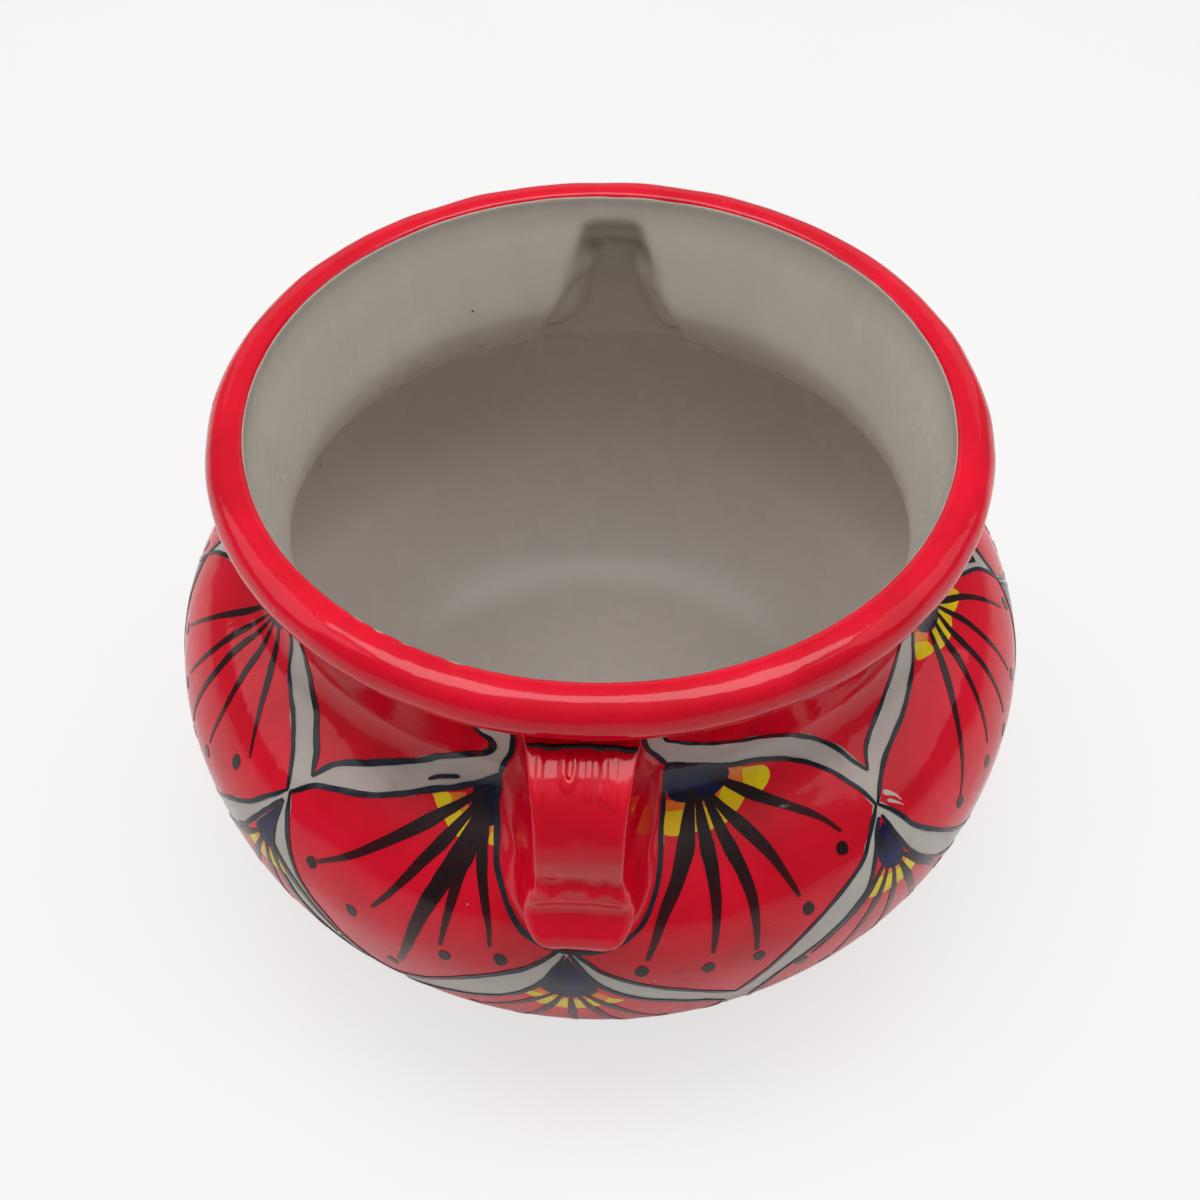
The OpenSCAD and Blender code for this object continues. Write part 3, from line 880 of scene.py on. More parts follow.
def lining_white():
    """Pale collar with runs and a blush, a floor greyed by painted shade, a band of painted shade under the
    rim, and painted highlights on the ridges and painted shade under the roofs of the handles' hollows.
    """
    f = Finish("white lining glaze")
    height = f.add("ShaderNodeSeparateXYZ", {0: f.place}).outputs[2]
    collar = f.mix(f.between(f.cloud(14, 3), 0.3, 0.7), srgb(209, 203, 193), srgb(216, 210, 200))
    runs = f.between(f.cloud(20, 3, (2.5, 2.5, 0.35)), 0.5, 0.85, 0.0, 0.3)
    collar = f.mix(runs, collar, srgb(196, 186, 174))
    blush = f.between(f.cloud(30, 3), 0.62, 0.9, 0.0, 0.16)
    collar = f.mix(blush, collar, srgb(200, 164, 152))
    # Painted shade: the floor of the lining is a darker grey than the bowl above it
    floor = f.mix(f.between(f.cloud(10, 3), 0.3, 0.7), srgb(169, 161, 153), srgb(173, 164, 156))
    bowl = f.mix(f.between(height, *FLOOR_SHADE_FADE), floor, srgb(217, 208, 200))
    body = f.mix(f.between(height, *COLLAR_TONE), bowl, collar)
    # Painted shade: a darker band on the lining just under the rim's inner edge
    body = f.mix(f.between(height, *RIM_SHADE, 0.0, 0.3), body, srgb(120, 108, 98))
    glaze = f.add("ShaderNodeSeparateXYZ", {0: f.brush()}).outputs
    # Painted shade under the roof of each handle's hollow
    body = f.mix(f.math("MULTIPLY", glaze[1], 0.5), body, srgb(148, 138, 130))
    # Painted highlights on the ridges at the back of each hollow
    body = f.mix(f.math("MULTIPLY", glaze[0], 0.8), body, srgb(232, 229, 219))
    f.colour(f.mix(f.specks(75, 0.055, 0.1), body, srgb(96, 62, 44)))
    glaze_skin(f, ripple=0.14, gloss=(0.22, 0.32), shine=0.2)
    return f.material


def outline_paint():
    f = Finish("blue black outline")
    f.colour(f.mix(f.between(f.cloud(90, 4), 0.35, 0.75), srgb(17, 20, 30), srgb(46, 52, 68)))
    glaze_skin(f)
    return f.material


def ray_paint():
    """Brown black at the eye, thinning to red towards the tip."""
    f = Finish("ray paint")
    brush = f.brush()
    along = f.add("ShaderNodeSeparateXYZ", {0: brush}).outputs
    hairs = f.add("ShaderNodeTexNoise", {
        "Vector": f.add("ShaderNodeMapping", {"Vector": brush, "Scale": (2.0, 3.5, 40.0)}).outputs[0],
        "Scale": 2.0, "Detail": 3.0,
    }).outputs["Fac"]
    thin = f.math("ADD", f.between(along[0], 0.45, 1.0, 0.0, 0.36), f.between(hairs, 0.45, 0.75, 0.0, 0.22))
    f.colour(f.mix(thin, srgb(24, 7, 14), srgb(112, 6, 22)))
    glaze_skin(f)
    return f.material


def brushed_paint(name, pale, strong, low=0.35, high=0.65):
    """A dab of colour with uneven strength."""
    f = Finish(name)
    f.colour(f.mix(f.between(f.cloud(110, 4), low, high), pale, strong))
    glaze_skin(f)
    return f.material


def bare_clay():
    f = Finish("bare clay", 0.85)
    body = f.mix(f.between(f.cloud(30, 5), 0.3, 0.7), srgb(160, 88, 56), srgb(190, 116, 78))
    f.colour(f.mix(f.specks(300, 0.2, 0.25), body, srgb(126, 70, 48)))
    f.bump(f.cloud(420, 4), 0.5, 0.0008)
    return f.material


red = red_glaze()
band = band_white()
lining_finish = lining_white()
outline_finish = outline_paint()
ray_finish = ray_paint()
cobalt = brushed_paint("cobalt eye paint", srgb(4, 7, 36), srgb(14, 24, 100), 0.4, 0.75)
orange = brushed_paint("orange dab paint", srgb(238, 100, 30), srgb(248, 152, 50))
yellow = brushed_paint("yellow dab paint", srgb(238, 204, 0), srgb(252, 228, 6))
clay = bare_clay()


# Handles

def smooth_step(value):
    value = min(max(value, 0), 1)
    return value * value * (3 - 2 * value)


def even(start, end, step):
    """Evenly spaced values from start to end."""
    count = round(abs(end - start) / step)
    return [start + (end - start) * i / count for i in range(count + 1)]


def reader(pairs):
    """Reads a value at a place from (place, value) pairs, straight between them."""
    line = sorted(pairs)
    places = [p for p, _ in line]

    def read(place):
        i = min(max(bisect.bisect(places, place), 1), len(line) - 1)
        (a, x), (b, y) = line[i - 1], line[i]
        return x + (y - x) * min(max((place - a) / (b - a), 0), 1) if b > a else x
    return read


def smooth_reader(points):
    """Reads a smooth rule from given (place, value) pairs."""
    return reader(flowing(points, 0.6))


# Strap of a handle by its drop below the middle of the rim: radius of its face, and half its width
strap_face = smooth_reader([
    (7.6, 120.6), (9, 119.9), (10.3, 120), (11.3, 121.5), (12.4, 124.2), (13.6, 127.4), (14.9, 130.9),
    (16.2, 134.3), (18, 137.8), (20.3, 140.7), (23.3, 143.3), (27, 145.7), (31.5, 148), (34.5, 149.2),
    (37, 149.7), (42, 149.8), (46, 149.5), (50, 149.4), (52.5, 149.6), (55, 150.3), (58.5, 152.1),
    (62, 154.1), (65.2, 156), (67, 157), (68.7, 157.6), (70.4, 157.7),
    (72.3, 157.1), (74.3, 156), (76.3, 154.6), (78.5, 153), (80.5, 151.5), (82, 150), (83.5, 148),
])
strap_half = smooth_reader([
    (8, 17.8), (12.6, 17), (13.9, 16.2), (16.4, 15.2), (18.8, 14.6), (22.6, 14), (29, 13.5), (41, 13.4),
    (46.5, 13.5), (49.5, 14.2), (53, 15.7), (56.7, 16.7), (60.5, 17), (63.5, 16.5), (66, 15.5), (68.5, 14.2),
    (71, 12.5), (73.5, 10.3), (76.5, 7.3), (79, 4.6), (81, 2.2), (83.5, 0.5),
])
# Drops at which a handle starts and ends, and down to which its rows lie close for the drips
LUG_HIGH, LUG_LOW, DRIPS_LOW = 8.2, 82.6, 27
CLOSE_ROW, OPEN_ROW = 0.4, 0.85
LUG_SHELL = 1.5
# Rounded edges of the strap, and of the tongue below the crease, where the change starts early and is soft
STRAP_ROUND, TONGUE_ROUND, CREASE, ROUND_EARLY, ROUND_SOFT = 1.6, 3.4, 50, 2, 5
# Largest share of the strap's half width and of its height that a rounded edge takes, and its least radius
EDGE_SHARE, EDGE_LEAST = 0.6, 0.2
# Curve of a handle's side: share of the gap that it follows the wall and how far above it, share that it tucks
# in under the strap, and share of the height that it comes up steeply
SIDE_RUN, SIDE_LIFT, SIDE_TUCK, SIDE_STEEP = 0.4, 1.0, 0.08, 0.55
# Step of drop for reading the slope of the strap, and its least slope
SLOPE_STEP, LEAST_SLOPE = 0.4, -1.0
# Dip across the strap, the half width at which it is full, and the least half width
STRAP_DISH, FULL_HALF, LEAST_HALF = 0.5, 14, 0.4
# A handle's root lies a little inside its painted line and sinks into the wall
ROOT_INSET, ROOT_SINK = 0.2, 0.7
# Drop at which the tongue starts to lean to the middle of its roots, and how long that takes
TIP_FROM, TIP_LONG = 72, 10
SIDE_POINTS, EDGE_POINTS, STRAP_COLUMNS = 12, 4, 60
# Heights of the lumps of the hand, of the ripples under the rim and of the crumples at the crease
LUMP_HIGH, RIPPLE_HIGH, CRUMPLE_HIGH = 0.18, 0.13, 0.38
RIPPLE_LOW, RIPPLE_SOFT, CRUMPLE_LONG, FACE_SOFT = 24, 8, 5.5, 1.2
# Fold of clay where the strap's end was pressed on: height, drop, waviness, and rise, fall and end in drop
FOLD_HIGH, FOLD_AT, FOLD_WAVE, FOLD_RISE, FOLD_FALL, FOLD_END = 2.6, 44.6, 2.4, 4.8, 5.5, 59


def root_line(lines):
    """Turn of one side of a handle's root by its height on the wall."""
    spots = [spot for line in lines for spot in flowing(line, 0.8)]
    return reader((outer.at(v * MM)[1] / MM, t) for t, v in spots)


left_root, right_root = root_line(LEFT_ROOT), root_line(RIGHT_ROOT)
# Drips of glaze at the top of the strap: place across, height, half width, and drop of its end below the rim
DRIP_ROUND = 0.6
DRIPS = [
    (-12, 0.6, 1.3, 21.5), (-3.7, 1.0, 3.0, 18.2), (-3.3, -0.9, 1.2, 16.6), (2.4, 0.45, 1.2, 20),
    (6.9, 0.8, 1.5, 20.3), (9.6, 0.45, 1.4, 21.5),
]


def drip_height(x, drop):
    """Height of the glaze drips over the strap."""
    total = 0.0
    for place, height, half, end in DRIPS:
        past = max(drop - (end - half), 0)
        total += height * max(1 - ((x - place) ** 2 + past**2) / half**2, 0) ** DRIP_ROUND
    return total


def strap_height(x, drop):
    """Height of the lumps, ripples, crumples, fold and drips over the plain face of the strap."""
    lump = LUMP_HIGH * waver(x * 0.09, drop * 0.08, 7.0)
    ripple = RIPPLE_HIGH * waver(x * 0.23, drop * 0.06, 11.0) * smooth_step((RIPPLE_LOW - drop) / RIPPLE_SOFT)
    at_crease = math.exp(-(((drop - CREASE) / CRUMPLE_LONG) ** 2))
    crumple = CRUMPLE_HIGH * waver(x * 0.22, drop * 0.2, 15.0) * at_crease
    fold = FOLD_HIGH * smooth_step((drop - FOLD_AT - FOLD_WAVE * waver(x * 0.19, 3.0)) / FOLD_RISE)
    fold *= smooth_step((FOLD_END - drop) / FOLD_FALL)
    on_face = smooth_step((strap_half(drop) - abs(x)) / FACE_SOFT)
    return lump + (ripple + crumple + fold + drip_height(x, drop)) * on_face


def lug_section(drop):
    """Points (across, out) of a handle's outer face at one drop, from its left root to its right root."""
    height = roll_z / MM - drop
    wall_r = outer.radius_at(height * MM) / MM
    roots = []
    for read, way in ((left_root, 1), (right_root, -1)):
        angle = math.radians(read(height)) + way * ROOT_INSET / wall_r
        roots.append(((wall_r - ROOT_SINK) * math.sin(angle), (wall_r - ROOT_SINK) * math.cos(angle)))
    low_part = min(max((drop - TIP_FROM) / TIP_LONG, 0), 1)
    middle = (roots[0][0] + roots[1][0]) / 2 * low_part
    face = strap_face(drop)
    half = max(min(strap_half(drop), (roots[1][0] - roots[0][0]) / 2 - LEAST_HALF), LEAST_HALF)
    low_round = smooth_step((drop - CREASE + ROUND_EARLY) / ROUND_SOFT)
    edge = STRAP_ROUND + (TONGUE_ROUND - STRAP_ROUND) * low_round
    edge = max(min(edge, half * EDGE_SHARE, (face - wall_r) * EDGE_SHARE), EDGE_LEAST)
    sides = []
    for root, way in ((roots[0], -1), (roots[1], 1)):
        end = (middle + way * half, face - edge)
        side = []
        # A curve that leaves the root along the wall and comes up steeply to the strap's edge, then that edge
        gap = root[0] - end[0]
        near_x = root[0] - SIDE_RUN * gap
        first = (near_x, math.sqrt(wall_r**2 - near_x**2) + SIDE_LIFT)
        second = (end[0] + SIDE_TUCK * gap, end[1] - SIDE_STEEP * max(end[1] - root[1], EDGE_LEAST))
        for i in range(SIDE_POINTS):
            t = i / SIDE_POINTS
            weights = ((1 - t) ** 3, 3 * t * (1 - t) ** 2, 3 * t * t * (1 - t), t**3)
            side.append(tuple(
                sum(w * p[k] for w, p in zip(weights, (root, first, second, end))) for k in (0, 1)
            ))
        for i in range(EDGE_POINTS + 1):
            a = math.radians(90 * i / EDGE_POINTS)
            side.append((end[0] - way * edge * (1 - math.cos(a)), end[1] + edge * math.sin(a)))
        sides.append(side)
    left, right = sides
    start, stop = left[-1], right[-1]
    across = []
    for i in range(1, STRAP_COLUMNS):
        t = i / STRAP_COLUMNS
        dish = STRAP_DISH * math.sin(math.pi * t) * min(half / FULL_HALF, 1)
        across.append((start[0] + (stop[0] - start[0]) * t, start[1] - dish))
    return left + across + right[::-1]


def strap_slope(drop):
    """How far the strap's face moves out in a millimetre of drop."""
    return (strap_face(drop + SLOPE_STEP) - strap_face(drop - SLOPE_STEP)) / (2 * SLOPE_STEP)


def lug_point(x, out, drop, height, way):
    """A point of a handle, raised by a height from its sloping face, at the front or the rear of the pot."""
    slope = max(strap_slope(drop), LEAST_SLOPE)
    size = math.hypot(1, slope)
    out += height / size
    return way * x * MM, -way * out * MM, roll_z - (drop - height * slope / size) * MM


def solid_piece(name, points, faces, finish, thickness):
    """A smooth sheet given its thickness in millimetres on the inner side."""
    mesh = bpy.data.meshes.new(name)
    mesh.from_pydata(points, [], faces)
    mesh.materials.append(finish)
    for polygon in mesh.polygons:
        polygon.use_smooth = True
    piece = bpy.data.objects.new(name, mesh)
    bpy.context.scene.collection.objects.link(piece)
    shell = piece.modifiers.new("thickness", "SOLIDIFY")
    shell.thickness = thickness * MM
    shell.offset = -1
    return settle(piece)


def lug_piece(name, turned):
    """A handle as a shell of clay, drawn over the wall at its roots."""
    drops = even(LUG_HIGH, DRIPS_LOW, CLOSE_ROW) + even(DRIPS_LOW, LUG_LOW, OPEN_ROW)[1:]
    points, faces = [], []
    way = -1 if turned else 1
    for drop in drops:
        for x, out in lug_section(drop):
            points.append(lug_point(x, out, drop, strap_height(x, drop), way))
    row = len(points) // len(drops)
    for i in range(len(drops) - 1):
        for k in range(row - 1):
            a, b = i * row + k, (i + 1) * row + k
            faces.append((a, b, b + 1, a + 1))
    return solid_piece(name, points, faces, red, LUG_SHELL)


# Painted line across the top of a strap: half its length, drop, width, lift and thickness, and its columns
LINE_HALF, LINE_DROP, LINE_WIDE, LINE_LIFT, LINE_THICK, LINE_COLUMNS = 16.4, 12.5, 0.52, 0.32, 0.5, 40


def top_line(name):
    """The painted line across the top of both straps, just under the rim."""
    points, faces = [], []
    for way in (1, -1):
        begin = len(points)
        for i in range(LINE_COLUMNS + 1):
            x = LINE_HALF * (2 * (i / LINE_COLUMNS) - 1)
            wide = LINE_WIDE + 0.16 * waver(x * 0.16, 2.0 + way)
            high = LINE_DROP + 0.1 * waver(x * 0.2, 5.0 + way)
            for drop in (high, high + wide / 2, high + wide):
                out = reader(lug_section(drop))(x)
                points.append(lug_point(x, out, drop, strap_height(x, drop) + LINE_LIFT, way))
        for i in range(LINE_COLUMNS):
            for k in range(2):
                a = begin + 3 * i + k
                faces.append((a, a + 1, a + 4, a + 3))
    return solid_piece(name, points, faces, outline_finish, LINE_THICK)


# Turned pieces as flat grids

def softened(values, wide, passes=8):
    """The values of a grid, each drawn towards its neighbours in every pass."""
    for _ in range(passes):
        values = [
            (4 * value + values[i - 1] + values[i + 1] + values[i - wide] + values[i + wide]) / 8
            if wide <= i < len(values) - wide else value for i, value in enumerate(values)
        ]
    return values


def grid(columns, rows, lift=None, push=None, skip=None, brush=None):
    """A flat grid in degrees and millimetres, with a lift, a push away from the axis and places left out."""
    sheet = Sheet()
    spots = [(t, v) for v in rows for t in columns]
    wide = len(columns)
    faces = []
    for i in range(len(rows) - 1):
        for k in range(wide - 1):
            middle = ((columns[k] + columns[k + 1]) / 2, (rows[i] + rows[i + 1]) / 2)
            if not (skip and skip(*middle)):
                a = i * wide + k
                faces.append((a, a + 1, a + wide + 1, a + wide))
    sheet.add(spots, faces, brush and [brush(t, v) for t, v in spots])
    if lift:
        sheet.points = [(x, y, lift(t, v) * MM) for (x, y, _), (t, v) in zip(sheet.points, spots)]
    if push:
        sheet.push = softened([push(t, v) * MM for t, v in spots], wide)
    return sheet


# Part of the wall left out behind a handle: its lower and upper end, and degrees inside the handle's roots
BEHIND_LOW, BEHIND_HIGH, BEHIND_INSET = 139, 227, 1.9


def behind_lug(t, v):
    """Part of the wall inside a handle's hollow."""
    height = outer.at(v * MM)[1] / MM
    inside = left_root(height) + BEHIND_INSET < t < right_root(height) - BEHIND_INSET
    return BEHIND_LOW < v < BEHIND_HIGH and inside


# Mouth of a handle's hollow in the lining: its top, softness of its sides, and half its width by drop
MOUTH_TOP, MOUTH_SOFT = 5, 7
mouth_half = smooth_reader([(0, 11.4), (2.5, 12), (20, 16.4), (34, 20), (42, 24), (52, 29), (75, 34)])
# Radius of the hollow's back by drop, its lower end and its widest turn, and the low ridges on it
hollow_back = smooth_reader([
    (0, 118), (8, 118.6), (14, 121), (22, 126), (32, 128.5), (45, 130.5), (60, 133), (75, 135),
])
HOLLOW_END, HOLLOW_TURN = 74, 15
RIDGE_PLACE, RIDGE_HIGH, RIDGE_WIDE = 0.5, 1.8, 1.5
# Drops between which painted highlights lie on the ridges, and painted shade under the roof
HIGHLIGHT_HIGH, HIGHLIGHT_LOW, SHADE_HIGH, SHADE_LOW = 20, 42, 4, 26
# Clay left behind the lining: at the strap, at a handle's sides, in the wall, and in degrees at the roots
LUG_CLAY, SIDE_CLAY, WALL_CLAY, ROOT_CLAY = 3.0, 3.2, 2.8, 2.0
# How steeply the hollow deepens from a root, in millimetres a degree
ROOT_RISE = 2.6
# How far the rim gives way above a hollow, to what turn and how softly, and how far the lining keeps off it
ROLL_GIVE, GIVE_TURN, GIVE_SOFT, ROLL_CLEAR = 3.6, 8, 3.5, 0.7
# Radius of the hollow's roof behind the rim, and the drop down to which it counts
ROOF_R, ROOF_LOW = 117, 13
hollow_rows = {}


def lug_back(drop, x):
    """Distance from the axis to the back of a handle's clay, which follows the handle's outer face."""
    if drop not in hollow_rows:
        section = lug_section(drop)
        half = len(section) // 2
        hollow_rows[drop] = (
            reader((-x, out) for x, out in section[:half]),
            reader(section[half:]),
        )
    read = hollow_rows[drop][0 if x < 0 else 1]
    return read(abs(x) + SIDE_CLAY)


def roll_give(t, drop):
    """How far the rim's inner side gives way above the hollow of a handle."""
    t = (t + 90) % 180 - 90
    return ROLL_GIVE * smooth_step((GIVE_TURN - abs(t)) / GIVE_SOFT) * smooth_step((drop + 1.5) / 3)


def hollow_place(t, v):
    """Radius, height, drop, turn from the nearer handle, and place across it, of a spot on the lining."""
    radius, height = inner.at(v * MM)
    near_t = (t + 90) % 180 - 90
    return radius / MM, height, (roll_z - height) / MM, near_t, math.radians(near_t) * radius / MM


def ridge_share(x, half):
    """1 on the two ridges of a hollow's back, 0 away from them."""
    return math.exp(-(((abs(x) - RIDGE_PLACE * half) / RIDGE_WIDE) ** 2))


def hollow_painted_light(t, v):
    """Painted highlights on the ridges of a hollow, and painted shade under its roof."""
    _, _, drop, near_t, x = hollow_place(t, v)
    if abs(near_t) > HOLLOW_TURN:
        return 0.0, 0.0, 0.0
    half = mouth_half(drop)
    # Painted highlight: pale colour on the ridges of the hollow's back
    thick = ridge_share(x, half) * smooth_step((drop - HIGHLIGHT_HIGH) / 6) * smooth_step((HIGHLIGHT_LOW - drop) / 6)
    # Painted shade: darker colour under the hollow's roof
    thin = smooth_step((half - abs(x)) / 4)
    thin *= smooth_step((drop - SHADE_HIGH) / 3) * smooth_step((SHADE_LOW - drop) / 10)
    return thick, thin, 0.0


def hollow_push(t, v):
    """How far the lining is pushed into the hollow of a handle."""
    radius, height, drop, near_t, x = hollow_place(t, v)
    if abs(near_t) > HOLLOW_TURN or not 0 < drop < HOLLOW_END:
        return 0.0
    half = mouth_half(drop)
    ridge = RIDGE_HIGH * ridge_share(x, half)
    deep = max(hollow_back(drop) - radius, 0) * smooth_step((half - abs(x)) / MOUTH_SOFT)
    deep *= smooth_step((drop - MOUTH_TOP + 2) / 4)
    limit = outer.radius_at(height) / MM - WALL_CLAY
    if drop > LUG_HIGH:
        inside = min(near_t - left_root(height / MM), right_root(height / MM) - near_t)
        back = lug_back(drop, x) - LUG_CLAY * math.hypot(1, strap_slope(drop))
        limit = max(limit, min(back, limit + (inside - ROOT_CLAY) * ROOT_RISE))
    if drop < ROOF_LOW:
        limit = max(limit, ROOF_R)
    if drop < LUG_HIGH + 1:
        limit = min(limit, (roll_c / MM + RIM_LIP[-1][0]) + roll_give(t, drop) - ROLL_CLEAR)
    push = max(min(deep, limit - radius), 0)
    return max(push - ridge * smooth_step((push - 3) / 6), 0)


def glaze_edge(t, v):
    """The lining starts almost flush on the rim."""
    return -0.5 * (1 - smooth_step((v - 0.2 * waver(t * 0.2, 9.0)) / 1.4))


# Marks of the hand on the rolled rim: a raised edge inside its top at the front left, nicked in places
MARK_FROM, MARK_TO = -56, -15
MARK_V = math.radians(ROLL_END - ROLL_START) * roll_r / MM + 2.6
MARK_HIGH, NICK_DEEP, SWELL_HIGH, SWELL_END = 0.4, 0.7, 0.2, 30
# Turn and strength of each nick
NICKS = [(-35.2, 0.9), (-31, 1.1), (-26.5, 0.8), (-18.5, 0.9)]


def rim_marks(t, v):
    """Height of the raised edge, the nicks and the soft swell on the rim."""
    near = math.exp(-(((v - MARK_V) / 1.5) ** 2))
    along = smooth_step((t - MARK_FROM) / 12) * smooth_step((MARK_TO - t) / 8)
    edge = MARK_HIGH * near * along * (1 + 0.5 * waver(t * 0.5, 1.0))
    wide = math.exp(-(((v - MARK_V) / 2.7) ** 2))
    nicks = sum(share * wide * math.exp(-((t - place) ** 2)) for place, share in NICKS)
    swell = SWELL_HIGH * waver(t * 0.14, v * 0.13, 4.0) * smooth_step((SWELL_END - v) / 6)
    return edge - NICK_DEEP * nicks + swell


def roll_push(t, v):
    """The rim's inner side above a handle's hollow."""
    radius, height = roll.at(v * MM)
    return roll_give(t, (roll_z - height) / MM) if radius < roll_c - 2 * MM else 0.0


# Flat grids of the turned pieces, with closer rows and columns where a shape is small
top_v = outer.total / MM - 1.0
wall_sheet = grid(even(-90, 90, 1.5), even(0, top_v, 1.7), skip=behind_lug)
lining_half = even(-90, -HOLLOW_TURN, 2.5) + even(-HOLLOW_TURN, HOLLOW_TURN, 0.6)[1:]
lining_half += even(HOLLOW_TURN, 90, 2.5)[1:]
lining_columns = lining_half + [t + 180 for t in lining_half[1:]]
lining_sheet = grid(
    lining_columns, even(0, 4, 0.5) + even(4, 92, 1.2)[1:] + even(92, inner.total / MM, 2.5)[1:],
    lift=glaze_edge, push=hollow_push, brush=hollow_painted_light,
)
roll_rows = even(0, 28.8, 1.2) + even(28.8, 36, 0.4)[1:] + even(36, roll.total / MM, 1.5)[1:]
roll_sheet = grid(even(-90, 270, 1.2), roll_rows, lift=rim_marks, push=roll_push)

base_outline = Outline("base outline", [
    [(DRAIN_R, floor_z), (DRAIN_R, 1.5 * MM), (DRAIN_R + 1.5 * MM, 0)],
    [(foot_r - 1.2 * MM, 0), (foot_r, 1.2 * MM)],
    [(outer.at(2 * MM)[0] - 0.4 * MM, outer.at(2 * MM)[1]), (foot_r - wall, floor_z), (DRAIN_R, floor_z)],
])


def base_rows():
    """Rows of the base, close at its corners and ringed by the turning tool between them."""
    rows = set()
    for a, b in zip(base_outline.lengths, base_outline.lengths[1:]):
        count = max(2, math.ceil((b - a) / (1.2 * MM)))
        rows |= {round((a + (b - a) * i / count) / MM, 4) for i in range(count + 1)}
    return sorted(rows)


# Rings of the turning tool under the base: depth, and space between them in millimetres
RING_DEEP, RING_SPACE = 0.12, 5.5


def tool_rings(t, v):
    """Shallow rings on the underside, clear of the drain hole and the foot's edge."""
    radius, height = base_outline.at(v * MM)
    if height > 0.1 * MM or not DRAIN_R + 3 * MM < radius < foot_r - 4 * MM:
        return 0.0
    return -RING_DEEP - RING_DEEP * math.cos(radius / MM * 2 * math.pi / RING_SPACE)


base_sheet = grid(even(-90, 90, 3), base_rows(), lift=tool_rings)

# Layers of paint on the wall: name, flat work, finish, and lift of the layer in millimetres
PAINT_LAYERS = [
    ("red_fields", reds, red, 0.10),
    ("orange_dabs", oranges, orange, 0.16),
    ("yellow_dabs", yellows, yellow, 0.17),
    ("cobalt_eyes", eyes, cobalt, 0.21),
    ("white_touches", whites, band, 0.2),
    ("fan_rays", rays, ray_finish, 0.25),
    ("field_outlines", outlines, outline_finish, 0.31),
]
pieces = {"turned_wall": lay("turned_wall", wall_sheet, outer, band, depth=2.2 * MM)}
for name, sheet, finish, lift in PAINT_LAYERS:
    pieces[name] = lay(name, sheet, outer, finish, lift=lift * MM)
pieces |= {
    "rolled_rim": lay("rolled_rim", roll_sheet, roll, red, depth=0.0, copies=1),
    "white_lining": lay("white_lining", lining_sheet, inner, lining_finish, depth=0.5 * MM, copies=1),
    "clay_base": lay("clay_base", base_sheet, base_outline, clay, depth=0.0, dents=0.0),
    "strap_top_lines": top_line("strap_top_lines"),
    "front_lug": lug_piece("front_lug", False),
    "rear_lug": lug_piece("rear_lug", True),
}
# CAD nodes that a piece is shown in place of
STANDS_FOR = {
    "turned_wall": ["lower_bowl", "shoulder_wall", "neck_collar"], "rolled_rim": ["rim_roll"],
    "white_lining": ["glaze_lining"], "clay_base": ["base_slab"], "front_lug": ["front_handle"],
    "rear_lug": ["rear_handle"],
}
for name, piece in pieces.items():
    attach(piece, "root")
    if name in STANDS_FOR:
        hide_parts(*STANDS_FOR[name])
for outline in (outer, inner, roll, base_outline):
    bpy.data.objects.remove(outline.object)


# Floor, light and camera

# How far floor and backdrop are lifted to white for the camera, and both of them in reflections
FLOOR_LIFT, BACKDROP_LIFT, MIRRORED_LIFT = 0.7, 0.9, 0.1
FLOOR_HALF = 4.0
# The floor's lift starts inside the foot's edge and is full outside it
LIFT_INSIDE, LIFT_OUTSIDE = 6 * MM, 14 * MM


def white_share(n, lift):
    """Share of white in what the camera sees, with its own lift, and in what reflections see."""
    ray = n.add("ShaderNodeLightPath").outputs
    mirrored = n.math("MAXIMUM", ray["Is Glossy Ray"], ray["Is Transmission Ray"])
    mirrored = n.math("MULTIPLY", mirrored, MIRRORED_LIFT)
    return n.math("MAXIMUM", n.math("MULTIPLY", ray["Is Camera Ray"], lift), mirrored)


def floor_finish():
    """Pale floor, seen part of the way to white except under the foot."""
    f = Finish("pale floor", 0.6)
    f.colour(f.mix(f.between(f.cloud(6, 3), 0.3, 0.7), srgb(238, 237, 235), srgb(244, 243, 241)))
    away = f.add("ShaderNodeVectorMath", {0: f.place}, operation="LENGTH").outputs["Value"]
    open_floor = f.between(away, foot_r - LIFT_INSIDE, foot_r + LIFT_OUTSIDE)
    share = f.math("MULTIPLY", white_share(f, FLOOR_LIFT), open_floor)
    lit = f.add("ShaderNodeEmission", {"Color": (1, 1, 1, 1), "Strength": 1.0})
    blend = f.add("ShaderNodeMixShader", {0: share, 1: f.shader.outputs[0], 2: lit.outputs[0]})
    f.tree.links.new(blend.outputs[0], f.output.inputs["Surface"])
    return f.material


def make_floor():
    mesh = bpy.data.meshes.new("floor")
    corners = [(FLOOR_HALF * x, FLOOR_HALF * y, 0) for x, y in ((-1, -1), (1, -1), (1, 1), (-1, 1))]
    mesh.from_pydata(corners, [], [(0, 1, 2, 3)])
    mesh.materials.append(floor_finish())
    floor = bpy.data.objects.new("floor", mesh)
    bpy.context.scene.collection.objects.link(floor)


def soft_light(name, place, aim, size, power):
    light = bpy.data.lights.new(name, "AREA")
    light.shape = "RECTANGLE"
    light.size, light.size_y = size
    light.energy = power
    lamp = bpy.data.objects.new(name, light)
    lamp.location = place
    lamp.rotation_euler = (Vector(aim) - Vector(place)).to_track_quat("-Z", "Y").to_euler()
    bpy.context.scene.collection.objects.link(lamp)


# Camera fitted to the photo: its place round the target, and the picture's size, focal length and target row
IMAGE_PX = 1200
CAMERA_DISTANCE = 0.640
CAMERA_TARGET = Vector((0, 0, 0.1063))
CAMERA_RISE, CAMERA_TURN = math.radians(48.04), math.radians(2.4)
FOCAL_PX = 1737.2
TARGET_ROW_PX = 589.9


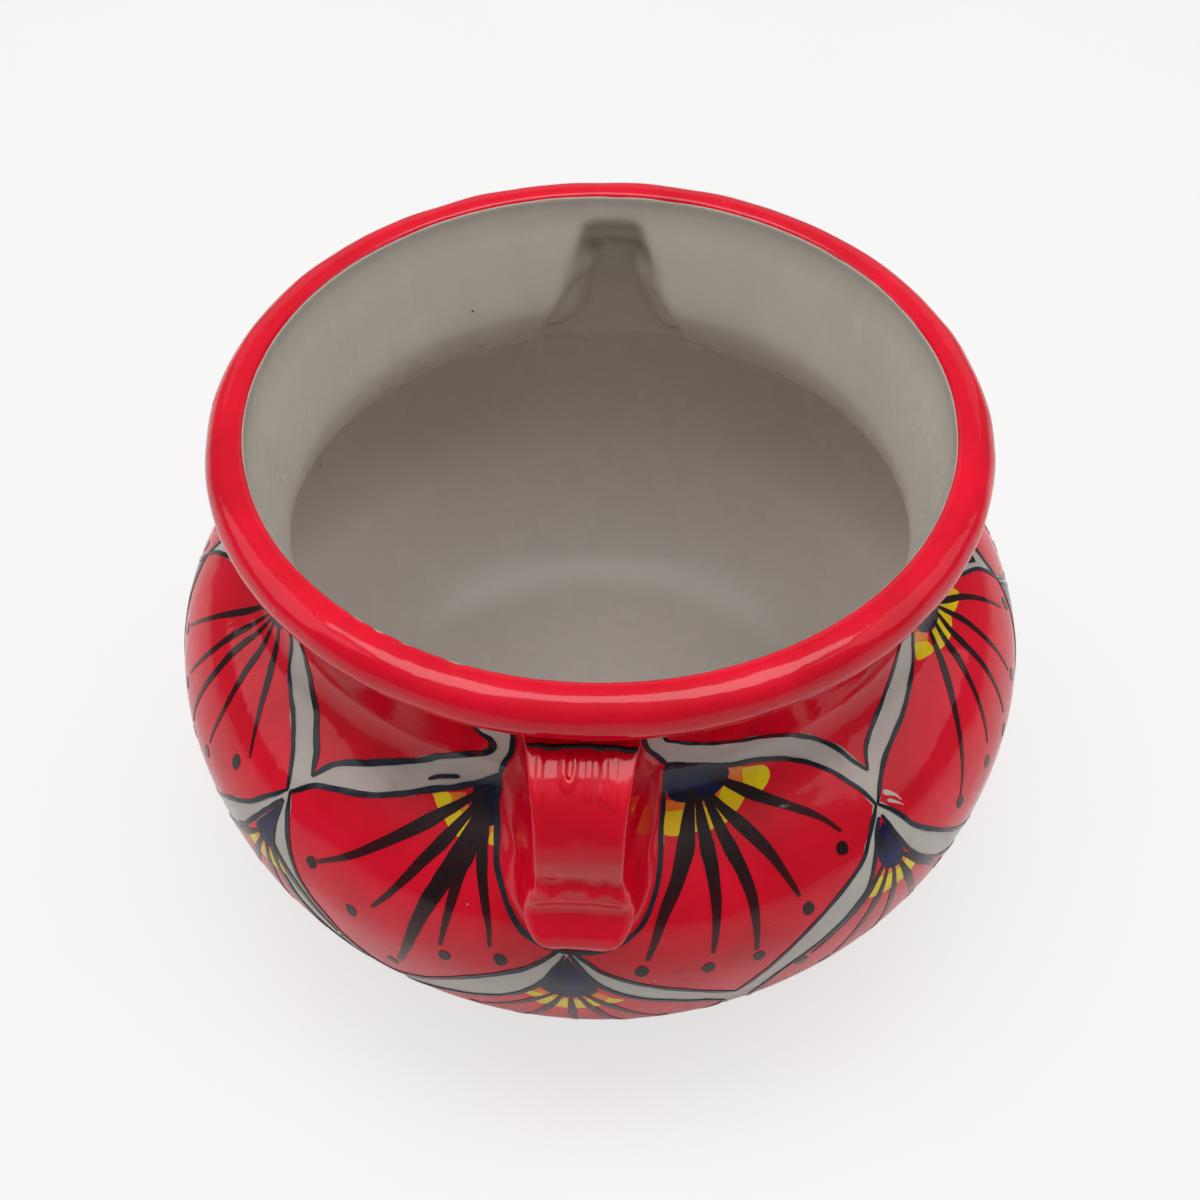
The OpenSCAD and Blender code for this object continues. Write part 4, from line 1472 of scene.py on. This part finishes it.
def make_camera():
    data = bpy.data.cameras.new("camera")
    data.lens = FOCAL_PX * data.sensor_width / IMAGE_PX
    data.shift_y = (TARGET_ROW_PX - IMAGE_PX / 2) / IMAGE_PX
    camera = bpy.data.objects.new("camera", data)
    level = math.cos(CAMERA_RISE)
    away = Vector((math.sin(CAMERA_TURN) * level, -math.cos(CAMERA_TURN) * level, math.sin(CAMERA_RISE)))
    camera.location = CAMERA_TARGET + away * CAMERA_DISTANCE
    camera.rotation_euler = (-away).to_track_quat("-Z", "Y").to_euler()
    bpy.context.scene.collection.objects.link(camera)
    bpy.context.scene.camera = camera


# Light of the sky at the horizon, how much it grows to straight above, and how late
SKY_LOW, SKY_RISE, SKY_POWER = 0.13, 0.62, 4.0


def make_world():
    """Soft light that grows from the horizon to straight above, seen as a pale backdrop."""
    world = bpy.data.worlds.new("studio")
    world.use_nodes = True
    n = Nodes(world.node_tree)
    way = n.add("ShaderNodeSeparateXYZ", {0: n.add("ShaderNodeTexCoord").outputs["Generated"]}).outputs[2]
    high = n.math("POWER", n.math("MAXIMUM", way, 0.0), SKY_POWER)
    sky = n.math("ADD", n.math("MULTIPLY", high, SKY_RISE), SKY_LOW)
    share = white_share(n, BACKDROP_LIFT)
    strength = n.math("ADD", n.math("MULTIPLY", sky, n.math("SUBTRACT", 1.0, share)), share)
    backdrop = world.node_tree.nodes["Background"]
    backdrop.inputs["Color"].default_value = (1, 1, 1, 1)
    world.node_tree.links.new(strength, backdrop.inputs["Strength"])
    bpy.context.scene.world = world


# Soft lamps: name, place, aim, size in metres, and power in watts
LAMPS = [
    ("overhead", (0, -0.03, 1.6), (0, -0.03, 0.1), (1.8, 0.75), 14.5),
    ("left side", (-1.6, 0.1, 1.2), (0, 0, 0.12), (1.3, 1.3), 5),
    ("right side", (1.6, 0.1, 1.2), (0, 0, 0.12), (1.3, 1.3), 4),
    ("back wall", (0, 2.2, 1.1), (0, 0, 0.2), (3.6, 1.2), 4),
]
make_floor()
make_world()
make_camera()
for lamp in LAMPS:
    soft_light(*lamp)
bpy.context.scene.view_settings.view_transform = "Standard"
